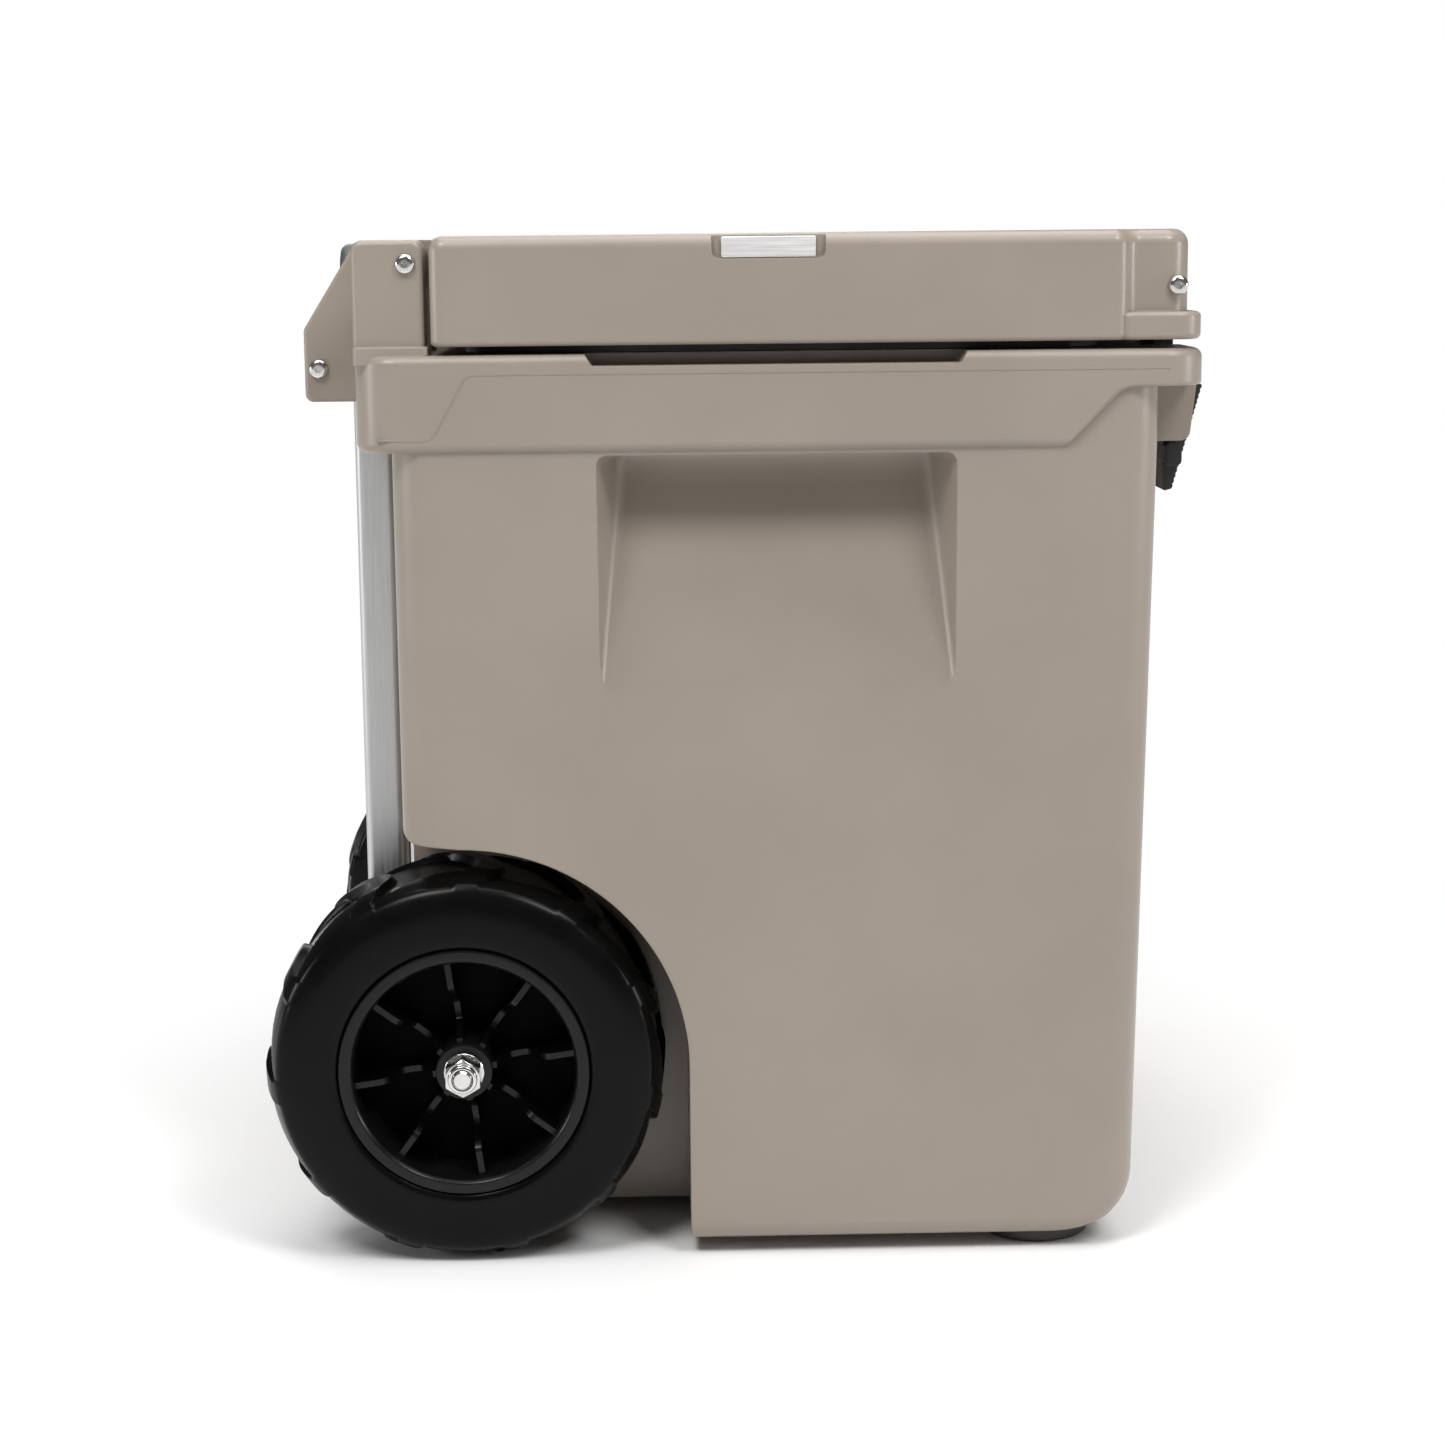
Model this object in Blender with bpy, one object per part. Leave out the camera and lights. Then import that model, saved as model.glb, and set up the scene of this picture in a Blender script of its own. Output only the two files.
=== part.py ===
"""Wheeled cooler: a rotomoulded box on two wheels, with a hinged lid, two rubber T-latches
and a telescopic pull handle.

Lengths are in metres. +X is the front, with the latches, -X the rear, with the wheels and the
handle, and +Z is up. The origin is on the floor under the middle of the cooler.
The lid's bare plate is on the right side, -Y.
"""
import math

import bmesh
import bpy
from mathutils import Vector

# Clearances
FIT_GAP = 0.0003            # between pieces that touch
RUN_GAP = 0.0005            # round a piece that turns or slides
OVERRUN = 0.003             # how far a cutter passes the face it cuts
MERGE = 0.000001

# Fineness of the round shapes
ARC_STEPS = 3
ROD_STEPS = 16
WHEEL_STEPS = 36
SHARP_ANGLE = math.radians(35)

# Feet under the front
FOOT_R = 0.0280
FOOT_H = 0.0075
FOOT_TAPER = 0.0025
FOOT_STEM_R = 0.0060
FOOT_STEM_L = 0.0150
FOOT_FROM_FRONT = 0.0531    # from the body's front to the foot's centre
FOOT_FROM_SIDE = 0.0468

# Body, measured just under the rim
BODY_REAR_X = -0.1648
BODY_L = 0.3701
BODY_HALF_W = 0.2265
BODY_H = 0.4434             # with the rim
BODY_CORNER_R = 0.018
SIDE_DRAFT_SHARE = 0.0187   # how much the walls draw in for each metre down
TOE_R = 0.030               # front bottom edge
BASE_EDGE_R = 0.009         # other bottom edges
WALL = 0.040                # insulated walls
FLOOR = 0.038
AXLE_COVER = 0.015          # of the rear wall before the axle

# Rim round the top of the body
RIM_H = 0.0462
RIM_PROUD = 0.0030          # beyond the side walls
RIM_REAR_OUT = 0.0164
RIM_FRONT_OUT = 0.0208
RIM_CORNER_R = 0.020
RIM_EDGE_R = 0.0045
LIP_H = 0.0177              # thin front stretch of the rim
SLANT_BACK = 0.0188         # from the front wall to where the lip begins
SLANT_L = 0.0308            # over which the rim's lower edge climbs to the lip
SIDE_NOTCH_HALF_L = 0.0878
SIDE_NOTCH_DEPTH = 0.0055
SIDE_NOTCH_IN = 0.0120      # how far the notch reaches in from the rim's face

# Cavity
CAVITY_CORNER_R = 0.020
CAVITY_EDGE_R = 0.012
CAVITY_STEP = 0.002         # the lower cavity is narrower by this, for draft

# Hand holds in the sides
HOLD_HALF_L = 0.0865
HOLD_UNDER = 0.0025         # from the rim down to the hold
HOLD_H = 0.1125
HOLD_BACK_H = 0.0180        # height of the hold's back wall
HOLD_BACK_T = 0.0040        # what is left of the wall behind the hold
HOLD_SIDE_IN = 0.0100       # how far the hold's end walls lean in
HOLD_EDGE_R = 0.0080

# Wheels and axle
WHEEL_R = 0.0998
WHEEL_W = 0.0740
WHEEL_PROUD = 0.00115       # of the wheel beyond the body's side
BEAD_R = 0.0620
BARREL_T = 0.0070
AXLE_IN = 0.0285            # from the body's rear to the axle
AXLE_R = 0.0050
WELL_CLEAR = 0.0117         # between the tyre and the wheel well
WELL_RISE = 0.0030          # how much the well's roof climbs to the rear
WELL_EDGE_R = 0.0080        # where the well's roof meets the body's rear
CLAW_DEPTH = 0.0040         # hollows between the tread's claws
CRESCENT_DEPTH = 0.0015     # crescents along the tyre's shoulders
SLEEVE_T = 0.0018
BOSS_T = 0.0064
BOSS_SET_BACK = 0.0023
WEB_DEPTH = 0.0330
WEB_T = 0.0045
RIB_COUNT = 8
RIB_T = 0.0030
RIB_SET_BACK = 0.0070
RIB_DIP = 0.0160            # how far the ribs' front edge dips halfway out
RIB_START = math.radians(8)
SPACER_L = 0.0054
WASHER_R = 0.0100
WASHER_T = 0.0020
NUT_ACROSS = 0.0170
NUT_H = 0.0095
NUT_COLLAR_R = 0.0073
NUT_COLLAR_H = 0.0025
AXLE_STAND_OUT = 0.0014     # bolt end beyond the nut's collar

# Lid
LID_GAP = 0.0041            # over the rim, for the seal
LID_H = 0.0521
LID_FRONT_OUT = 0.0141      # beyond the body's front wall
LID_LIP_OUT = 0.0051
LID_LIP_H = 0.0182
LID_SIDE_IN = 0.0020        # from the rim's side
LID_TOP_R = 0.0070
LID_EDGE_R = 0.0025
LID_CORNER_R = 0.0130
LID_REAR_CORNER_R = 0.0080
LID_STEP_BACK = 0.0307      # from the lid's front to where its sides step in
LID_STEP_IN = 0.0090
LID_STEP_L = 0.0100
LID_STEP_R = 0.0075
LID_PANEL_IN = 0.0300
LID_PANEL_DEPTH = 0.0015
PLUG_DEPTH = 0.0098         # how far the lid reaches below its edge into the cavity
PLUG_CLEAR = 0.0030
SEAL_W = 0.0120
SEAL_IN = 0.0060            # from the cavity's edge to the seal

# Bare plate in the lid's side
PLATE_FROM_MIDDLE = 0.0033  # how far behind the body's middle
PLATE_HALF_L = 0.02245
PLATE_H = 0.0098
PLATE_T = 0.0015
PLATE_DOWN = 0.0017         # under the lid's top
PLATE_NOTCH_SIDE = 0.0045   # notch beyond the plate's ends
PLATE_NOTCH_DEPTH = 0.0035
PLATE_NOTCH_R = 0.0035

# Rods and their screws
ROD_R = 0.0040
SCREW_BORE_R = 0.0025
SCREW_BORE_DEPTH = 0.0160
SCREW_SHANK_R = 0.0021
SCREW_SHANK_L = 0.0120
SCREW_HEAD_R = 0.0048
SCREW_HEAD_H = 0.0027
SCREW_SOCKET_R = 0.0016
SCREW_SOCKET_DEPTH = 0.0014

# Hinge
HINGE_IN = 0.0099           # from the body's rear to the hinge line
HINGE_DOWN = 0.0131         # from the lid's top to the hinge line
EAR_FRONT = 0.0082          # ears before the hinge line
EAR_UP = 0.0114             # ears over the hinge line
EAR_TOP_R = 0.0055
EAR_SWING_GAP = 0.0006      # between the ears and the lid that swings past them
CHEEK_T = 0.0047            # side of the lid that laps the hinge posts
CHEEK_GAP = 0.0006
CHEEK_BACK = 0.0104         # from the hinge line forward to the cheeks' rear edge
POST_IN = 0.0004            # from the rim's rear
POST_W = 0.0222
POST_EDGE_R = 0.0030
PAD_T = 0.0043              # low pad under each post
PAD_MARGIN = 0.0015
WING_T = 0.0170
WING_OUT = 0.0298           # beyond the rim's rear
WING_DOWN = 0.0246          # below the rim's top
WING_KNEE_UP = 0.0110       # over the rim's top, where the wing's back starts to slope
WING_SLOPE_L = 0.0272
WING_CORNER_R = 0.0040
KNUCKLE_R = 0.0112
KNUCKLE_GAP = 0.0015        # beside the knuckles
CENTRE_KNUCKLE_HALF = 0.0550

# Latches
LATCH_ROD_IN = 0.0066       # from the lid's front
LATCH_ROD_DOWN = 0.0266     # from the lid's top
LATCH_FROM_SIDE = 0.0828    # from the body's side to the latch's middle
LATCH_HALF_W = 0.0200
LATCH_LOOP_R = 0.0080
LATCH_BACK = 0.0021         # strap behind the rod's centre
LATCH_FRONT = 0.0079        # strap before the rod's centre
LATCH_NECK = 0.0220         # from the rod down to the even strap
LATCH_SHOULDER = 0.0498     # from the rod down to the finger pad's top
LATCH_SWELL = 0.0225        # finger pad before the rod's centre
LATCH_LENGTH = 0.1030       # from the rod down to the tip
LATCH_TIP_T = 0.0034
LATCH_RIDGES = 20
LATCH_RIDGE_H = 0.0006
LATCH_EAR_HALF = 0.0290     # half the width over the latch's ears
LATCH_EAR_DROP = 0.0783     # from the rod down to the ears
LATCH_EAR_H = 0.0115
LATCH_EAR_BACK = 0.0036     # ears before the rod's centre
LATCH_EAR_T = 0.0100
KEEPER_SEAT = 0.0017        # between a latch's ears and its keepers, upwards
KEEPER_CLEAR = 0.0007       # between a hanging latch's ears and its keepers
GUARD_CLEAR = 0.0010
GUARD_T = 0.0100
GUARD_TOP_OUT = 0.0244      # guards before the front wall, under the rim
GUARD_FOOT_OUT = 0.0204
GUARD_R = 0.0050
SLOT_CLEAR = 0.0015         # beside the latch in its slots

# Telescopic handle
TUBE_BACK_GAP = 0.0048      # between the body's rear and the outer tubes
TUBE_FROM_WELL = 0.0190     # from the wheel well's inner wall to the tube's middle
TUBE_DEEP = 0.0200
TUBE_WIDE = 0.0260
TUBE_R = 0.0040
TUBE_SIDE_GAP = 0.0038      # between an outer tube and its wing
OUTER_WALL = 0.0016
MIDDLE_WALL = 0.0014
INNER_WALL = 0.0012
COLLAR_T = 0.0055
HANDLE_ROD_IN = 0.0072      # from the wing's rear to the handle's rod
HANDLE_ROD_UP = 0.0164      # from the wing's underside
HOUSING_SET_IN = 0.0005     # from the wing's rear to the housing
HOUSING_BACK_GAP = 0.0010   # between the housing and the body
HOUSING_UNDER = 0.0140      # of the housing below the rod's centre
HOUSING_COVER = 0.0045      # of the housing over the rod
HOUSING_R = 0.0030
OUTER_TOP_IN = 0.0015       # from the housing's top to the outer tube's top
MIDDLE_FOOT_UP = 0.0180     # from the outer tube's foot
INNER_FOOT_UP = 0.0060      # from the middle tube's foot
GRIP_FRONT = 0.0093         # grip before the tubes' middle
GRIP_DEEP = 0.0240
GRIP_DOWN = 0.0017          # from the ears' top
GRIP_BAR_H = 0.0250
GRIP_SIDE_GAP = 0.0015      # between the grip and the wings
GRIP_LEG_SPARE = 0.0050     # how much wider the grip's legs are than the tubes
GRIP_OUTER_R = 0.0140
GRIP_INNER_R = 0.0090
GRIP_EDGE_R = 0.0040
GRIP_SHELL = 0.0030
BUTTON_HALF_W = 0.0220
BUTTON_HALF_DEEP = 0.0065
BUTTON_PROUD = 0.0010
BUTTON_TRAVEL = 0.0040
BUTTON_R = 0.0030
YOKE_T = 0.0030
RELEASE_ROD_R = 0.0020
SPRING_WIRE_R = 0.0005
SPRING_TURNS = 5
SPRING_TURN_STEPS = 8
SPRING_WIRE_SIDES = 5
SPRING_Y = 0.0350
LOCK_PLUG_H = 0.0220
BRACKET_BASE_Z = 0.0300
BRACKET_H = 0.0460
BRACKET_SEAT = 0.0220       # from the bracket's underside to the tube's foot
BRACKET_SIDE = 0.0030       # bracket wall beside the tube
BRACKET_SCREW_UP = 0.0110
BRACKET_SCREW_R = 0.0030
BRACKET_SCREW_L = 0.0150
BRACKET_HEAD_R = 0.0055
BRACKET_HEAD_H = 0.0030

# Drain
DRAIN_UP = 0.0033           # from the cavity's floor to the drain's bore
DRAIN_BORE_R = 0.0110
DRAIN_PLUG_R = 0.0170
DRAIN_PLUG_H = 0.0120
DRAIN_SEAL_T = 0.0025

# Where the pieces come to lie
BODY_BASE_Z = FOOT_H + FIT_GAP
BODY_FRONT_X = BODY_REAR_X + BODY_L
BODY_MIDDLE_X = (BODY_REAR_X + BODY_FRONT_X) / 2
FOOT_X = BODY_FRONT_X - FOOT_FROM_FRONT
FOOT_Y = BODY_HALF_W - FOOT_FROM_SIDE

RIM_TOP_Z = BODY_BASE_Z + BODY_H
RIM_BASE_Z = RIM_TOP_Z - RIM_H
RIM_REAR_X = BODY_REAR_X - RIM_REAR_OUT
RIM_FRONT_X = BODY_FRONT_X + RIM_FRONT_OUT
RIM_HALF_W = BODY_HALF_W + RIM_PROUD
LIP_BASE_Z = RIM_TOP_Z - LIP_H
SLANT_HIGH_X = BODY_FRONT_X - SLANT_BACK
SLANT_LOW_X = SLANT_HIGH_X - SLANT_L
HOLD_TOP_Z = RIM_BASE_Z - HOLD_UNDER
HOLD_BOTTOM_Z = HOLD_TOP_Z - HOLD_H
HOLD_DEPTH = WALL - HOLD_BACK_T

AXLE_X = BODY_REAR_X + AXLE_IN
AXLE_Z = WHEEL_R
RING_Y = BODY_HALF_W + WHEEL_PROUD
BARREL_IN_R = BEAD_R - BARREL_T
HUB_BORE_R = AXLE_R + RUN_GAP + SLEEVE_T + FIT_GAP
BOSS_R = HUB_BORE_R + BOSS_T
WELL_R = WHEEL_R + WELL_CLEAR
WELL_INNER_Y = RING_Y - WHEEL_W - SPACER_L - 2 * FIT_GAP

CAVITY_REAR_X = AXLE_X + AXLE_R + AXLE_COVER
CAVITY_FRONT_X = BODY_FRONT_X - WALL
CAVITY_HALF_W = BODY_HALF_W - WALL
CAVITY_STEP_Z = AXLE_Z + WELL_R + WALL
CAVITY_STEP_X = AXLE_X + WELL_R + WALL
CAVITY_NARROW = WELL_INNER_Y - WALL
CAVITY_FLOOR_Z = BODY_BASE_Z + FLOOR
DRAIN_Z = CAVITY_FLOOR_Z + DRAIN_UP + DRAIN_BORE_R

LID_BASE_Z = RIM_TOP_Z + LID_GAP
LID_TOP_Z = LID_BASE_Z + LID_H
LID_FRONT_X = BODY_FRONT_X + LID_FRONT_OUT
LID_LIP_X = LID_FRONT_X + LID_LIP_OUT
LID_LIP_TOP_Z = LID_BASE_Z + LID_LIP_H
LID_HALF_W = RIM_HALF_W - LID_SIDE_IN
LID_STEP_X = LID_FRONT_X - LID_STEP_BACK
PLATE_MIDDLE_X = BODY_MIDDLE_X - PLATE_FROM_MIDDLE
PLATE_BASE_Z = LID_TOP_Z - PLATE_DOWN - PLATE_H

HINGE_X = BODY_REAR_X + HINGE_IN
HINGE_Z = LID_TOP_Z - HINGE_DOWN
EAR_TOP_Z = HINGE_Z + EAR_UP
EAR_REACH = math.hypot(EAR_FRONT - EAR_TOP_R, EAR_UP - EAR_TOP_R) + EAR_TOP_R
LID_BACK_X = HINGE_X + EAR_REACH + EAR_SWING_GAP
LID_REAR_X = HINGE_X + CHEEK_BACK
POST_REAR_X = RIM_REAR_X + POST_IN
POST_OUTER_Y = LID_HALF_W - CHEEK_T - CHEEK_GAP
POST_INNER_Y = POST_OUTER_Y - POST_W

TUBE_MIDDLE_X = BODY_REAR_X - TUBE_BACK_GAP - TUBE_DEEP / 2
TUBE_MIDDLE_Y = WELL_INNER_Y - TUBE_FROM_WELL
WING_INNER_Y = TUBE_MIDDLE_Y + TUBE_WIDE / 2 + TUBE_SIDE_GAP
WING_OUTER_Y = WING_INNER_Y + WING_T
WING_REAR_X = RIM_REAR_X - WING_OUT
WING_TOP_X = WING_REAR_X + WING_SLOPE_L
WING_BASE_Z = RIM_TOP_Z - WING_DOWN
WING_KNEE_Z = RIM_TOP_Z + WING_KNEE_UP

LATCH_ROD_X = LID_FRONT_X - LATCH_ROD_IN
LATCH_ROD_Z = LID_TOP_Z - LATCH_ROD_DOWN
LATCH_MIDDLE_Y = BODY_HALF_W - LATCH_FROM_SIDE
KEEPER_Z = LATCH_ROD_Z - LATCH_EAR_DROP + KEEPER_SEAT
KEEPER_X = LATCH_ROD_X + LATCH_EAR_BACK - KEEPER_CLEAR
GUARD_HALF_IN = LATCH_EAR_HALF + GUARD_CLEAR

HANDLE_ROD_X = WING_REAR_X + HANDLE_ROD_IN
HANDLE_ROD_Z = WING_BASE_Z + HANDLE_ROD_UP
HOUSING_REAR_X = WING_REAR_X + HOUSING_SET_IN
HOUSING_FRONT_X = BODY_REAR_X - HOUSING_BACK_GAP
HOUSING_BASE_Z = HANDLE_ROD_Z - HOUSING_UNDER
HOUSING_TOP_Z = HANDLE_ROD_Z + ROD_R + HOUSING_COVER
BRACKET_TOP_Z = BRACKET_BASE_Z + BRACKET_H
BRACKET_SCREW_Z = BRACKET_BASE_Z + BRACKET_SCREW_UP
BRACKET_REAR_X = TUBE_MIDDLE_X - TUBE_DEEP / 2 - BRACKET_SIDE
TUBE_FOOT_Z = BRACKET_BASE_Z + BRACKET_SEAT
OUTER_TOP_Z = HOUSING_TOP_Z - OUTER_TOP_IN
MIDDLE_FOOT_Z = TUBE_FOOT_Z + MIDDLE_FOOT_UP
MIDDLE_TOP_Z = OUTER_TOP_Z + FIT_GAP + COLLAR_T
INNER_FOOT_Z = MIDDLE_FOOT_Z + INNER_FOOT_UP
GRIP_LEG_Z = MIDDLE_TOP_Z + FIT_GAP + COLLAR_T + FIT_GAP
GRIP_FRONT_X = TUBE_MIDDLE_X + GRIP_FRONT
GRIP_REAR_X = GRIP_FRONT_X - GRIP_DEEP
GRIP_HALF_W = WING_INNER_Y - GRIP_SIDE_GAP
GRIP_LEG_W = TUBE_WIDE + GRIP_LEG_SPARE
GRIP_TOP_Z = EAR_TOP_Z - GRIP_DOWN
GRIP_BAR_Z = GRIP_TOP_Z - GRIP_BAR_H
INNER_TOP_Z = GRIP_BAR_Z
YOKE_TOP_Z = GRIP_TOP_Z - 2 * GRIP_SHELL - BUTTON_TRAVEL
YOKE_BASE_Z = YOKE_TOP_Z - YOKE_T
CHANNEL_BASE_Z = GRIP_BAR_Z + GRIP_SHELL
CHANNEL_TOP_Z = GRIP_TOP_Z - 2 * GRIP_SHELL
MIDDLE_SHRINK = OUTER_WALL + RUN_GAP
INNER_SHRINK = MIDDLE_SHRINK + MIDDLE_WALL + RUN_GAP

# Section of the tyre from its outer bead over the tread to its inner bead:
# height over the bead, depth from the outer face
TYRE_SECTION_SHARES = (
    (0.00, 0.030), (0.10, 0.004), (0.50, 0.012), (0.78, 0.060), (0.90, 0.125), (0.97, 0.200),
    (1.00, 0.275), (1.00, 0.400), (1.00, 0.530), (1.00, 0.660), (1.00, 0.790), (0.95, 0.880),
    (0.80, 0.960), (0.00, 0.990),
)
SHOULDER_SHARE = 0.78       # height over the bead where the tread's relief begins
LUG_COUNT = 11
LUG_START = math.radians(19.6)
LUG_COLUMN_SHARES = (0.00, 0.19, 0.25, 0.50, 0.75, 0.95)
CLAW_SHARE = 0.20           # of a lug's pitch
CRESCENT_SHARE = 0.50       # of half the tread's width, where it is widest
CLAW_SWEEP_SHARE = 0.42     # of a lug's pitch, from the shoulders to the middle
STAGGER_SHARE = 0.50        # of a lug's pitch, from one shoulder to the other
# Front edge of a rib: place from the boss to the barrel, share of the dip
RIB_EDGE_SHARES = (
    (0.05, 0.03), (0.11, 0.44), (0.18, 0.84), (0.24, 0.97), (0.41, 1.00), (0.50, 0.75),
    (0.57, 0.31), (0.65, 0.06), (0.71, 0.00),
)

SIDES = (("right", -1), ("left", 1))

PLANES = {
    "X": lambda u, v, w: (w, u, v),
    "Y": lambda u, v, w: (u, w, v),
    "Z": lambda u, v, w: (u, v, w),
}
SPIN_AXES = {
    "X": (Vector((1, 0, 0)), Vector((0, 0, 1))),
    "Y": (Vector((0, 1, 0)), Vector((1, 0, 0))),
    "Z": (Vector((0, 0, 1)), Vector((1, 0, 0))),
}


def clear_scene():
    for item in list(bpy.data.objects):
        bpy.data.objects.remove(item)


def linear(channel):
    """Turns one sRGB channel into a linear value."""
    value = channel / 255
    return value / 12.92 if value <= 0.04045 else ((value + 0.055) / 1.055) ** 2.4


def finish(name, red, green, blue, roughness, metallic):
    """A Principled material of one sRGB colour."""
    material = bpy.data.materials.new(name)
    material.use_nodes = True
    shader = material.node_tree.nodes["Principled BSDF"]
    colour = (linear(red), linear(green), linear(blue), 1)
    shader.inputs["Base Color"].default_value = colour
    shader.inputs["Roughness"].default_value = roughness
    shader.inputs["Metallic"].default_value = metallic
    material.diffuse_color = colour
    return material


def corner_arc(before, corner, after, radius):
    """The points of a fillet in one corner of an outline."""
    back = (before - corner).normalized()
    ahead = (after - corner).normalized()
    half = back.angle(ahead) / 2
    centre = corner + (back + ahead).normalized() * (radius / math.sin(half))
    start = corner + back * (radius / math.tan(half)) - centre
    end = corner + ahead * (radius / math.tan(half)) - centre
    sweep = start.angle(end)
    points = []
    for step in range(ARC_STEPS + 1):
        share = step / ARC_STEPS
        mixed = start * math.sin((1 - share) * sweep) + end * math.sin(share * sweep)
        points.append(centre + mixed / math.sin(sweep))
    return points


def outline(corners):
    """Points round a closed outline from its corners (u, v, fillet radius)."""
    points = []
    for index, (u, v, radius) in enumerate(corners):
        corner = Vector((u, v))
        if radius == 0:
            points.append(corner)
            continue
        before = Vector(corners[index - 1][:2])
        after = Vector(corners[(index + 1) % len(corners)][:2])
        points.extend(corner_arc(before, corner, after, radius))
    return points


def rectangle(low_u, high_u, low_v, high_v, radius=0):
    return outline((
        (low_u, low_v, radius),
        (high_u, low_v, radius),
        (high_u, high_v, radius),
        (low_u, high_v, radius),
    ))


def inset(points, distance):
    """Moves a closed outline inwards by a distance. The outline runs anticlockwise."""
    moved = []
    for index, point in enumerate(points):
        back = (point - points[index - 1]).normalized()
        ahead = (points[(index + 1) % len(points)] - point).normalized()
        inward = Vector((-back.y - ahead.y, back.x + ahead.x)).normalized()
        lean = max(inward.dot(Vector((-ahead.y, ahead.x))), 0.5)
        moved.append(point + inward * (distance / lean))
    return moved


def skin(rings, closed_loop=False):
    """A closed mesh through rings of points, capped at its ends unless it closes on itself."""
    form = bmesh.new()
    rows = [[form.verts.new(point) for point in ring] for ring in rings]
    pairs = list(zip(rows, rows[1:]))
    if closed_loop:
        pairs.append((rows[-1], rows[0]))
    else:
        form.faces.new(rows[0])
        form.faces.new(rows[-1])
    for lower, upper in pairs:
        for index in range(len(lower)):
            after = (index + 1) % len(lower)
            form.faces.new((lower[index], lower[after], upper[after], upper[index]))
    bmesh.ops.recalc_face_normals(form, faces=form.faces)
    return form


def prism(points, axis, low, high):
    """An outline drawn out along an axis."""
    place = PLANES[axis]
    return skin([[place(point.x, point.y, level) for point in points] for level in (low, high)])


def box(low, high):
    return prism(rectangle(low[0], high[0], low[1], high[1]), "Z", low[2], high[2])


def pad(points, low, high, low_r, high_r):
    """An upright prism with rounded bottom and top edges."""
    rings = []
    for step in range(ARC_STEPS + 1):
        if low_r == 0:
            rings.append([(p.x, p.y, low) for p in points])
            break
        turn = math.pi / 2 * step / ARC_STEPS
        ring = inset(points, low_r * (1 - math.sin(turn)))
        rings.append([(p.x, p.y, low + low_r * (1 - math.cos(turn))) for p in ring])
    for step in range(ARC_STEPS + 1):
        if high_r == 0:
            rings.append([(p.x, p.y, high) for p in points])
            break
        turn = math.pi / 2 * (1 - step / ARC_STEPS)
        ring = inset(points, high_r * (1 - math.sin(turn)))
        rings.append([(p.x, p.y, high - high_r * (1 - math.cos(turn))) for p in ring])
    return skin(rings)


def hollow(outer, inner, low, high):
    """An upright tube between two outlines with as many points each."""
    rings = []
    for points, level in ((outer, low), (outer, high), (inner, high), (inner, low)):
        rings.append([(p.x, p.y, level) for p in points])
    return skin(rings, closed_loop=True)


def turned(profile, axis, centre, steps, ring=False):
    """Spins a profile of (radius, place along the axis) about a line through the centre."""
    along, out = SPIN_AXES[axis]
    form = bmesh.new()
    verts = [form.verts.new(centre + out * radius + along * place) for radius, place in profile]
    ends = verts[1:] + verts[:1] if ring else verts[1:]
    edges = [form.edges.new(pair) for pair in zip(verts, ends)]
    bmesh.ops.spin(form, geom=verts + edges, cent=centre, axis=along,
                   angle=math.tau, steps=steps, use_merge=True)
    bmesh.ops.remove_doubles(form, verts=form.verts, dist=MERGE)
    bmesh.ops.recalc_face_normals(form, faces=form.faces)
    return form


def cylinder(axis, centre, radius, low, high, steps=ROD_STEPS):
    return turned(((0, low), (radius, low), (radius, high), (0, high)), axis, centre, steps)


def bevel_edges(form, width, chosen):
    """Rounds the edges that a test picks."""
    edges = [edge for edge in form.edges if chosen(edge)]
    bmesh.ops.bevel(form, geom=edges, offset=width, segments=3, profile=0.5, affect="EDGES")
    bmesh.ops.recalc_face_normals(form, faces=form.faces)


def carrier(name, place, parent=None):
    """An empty on a joint's axis, which carries the pieces that move with it."""
    empty = bpy.data.objects.new(name, None)
    empty["place"] = place
    empty.parent = parent
    empty.location = Vector(place) - (Vector(parent["place"]) if parent else Vector())
    bpy.context.scene.collection.objects.link(empty)
    return empty


def piece(name, form, material, on=None):
    """Makes one named object, with its origin on the empty that carries it."""
    if on:
        bmesh.ops.translate(form, verts=form.verts, vec=-Vector(on["place"]))
    mesh = bpy.data.meshes.new(name)
    form.to_mesh(mesh)
    form.free()
    mesh.shade_smooth()
    mesh.set_sharp_from_angle(angle=SHARP_ANGLE)
    item = bpy.data.objects.new(name, mesh)
    bpy.context.scene.collection.objects.link(item)
    item.parent = on
    if material:
        mesh.materials.append(material)
    return item


def combine(target, form, operation, label):
    """Adds a form to a piece, or cuts it away, with a Boolean modifier."""
    tool = piece(f"tool_{target.name}_{label}", form, None)
    tool.hide_render = True
    tool.display_type = "WIRE"
    modifier = target.modifiers.new(label, "BOOLEAN")
    modifier.operation = operation
    modifier.solver = "EXACT"
    modifier.object = tool


def cut(target, form, label):
    combine(target, form, "DIFFERENCE", label)


def add(target, form, label):
    combine(target, form, "UNION", label)


def rounded_foot(radius, height):
    """How far a rounded bottom edge stands back at a height above it."""
    if height >= radius:
        return 0
    return radius - math.sqrt(radius ** 2 - (radius - height) ** 2)


def body_block():
    """The body's outer walls, drawn in towards the floor and rounded at the bottom."""
    heights = {RIM_TOP_Z - RIM_EDGE_R - BODY_BASE_Z}
    for radius in (TOE_R, BASE_EDGE_R):
        for step in range(ARC_STEPS + 1):
            heights.add(radius * (1 - math.cos(math.pi / 2 * step / ARC_STEPS)))
    rings = []
    for height in sorted(heights):
        z = BODY_BASE_Z + height
        draft = SIDE_DRAFT_SHARE * max(RIM_BASE_Z - z, 0)
        low_x = BODY_REAR_X + rounded_foot(BASE_EDGE_R, height)
        high_x = BODY_FRONT_X - draft - rounded_foot(TOE_R, height)
        half = BODY_HALF_W - draft - rounded_foot(BASE_EDGE_R, height)
        ring = rectangle(low_x, high_x, -half, half, BODY_CORNER_R)
        rings.append([(p.x, p.y, z) for p in ring])
    return skin(rings)


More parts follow.
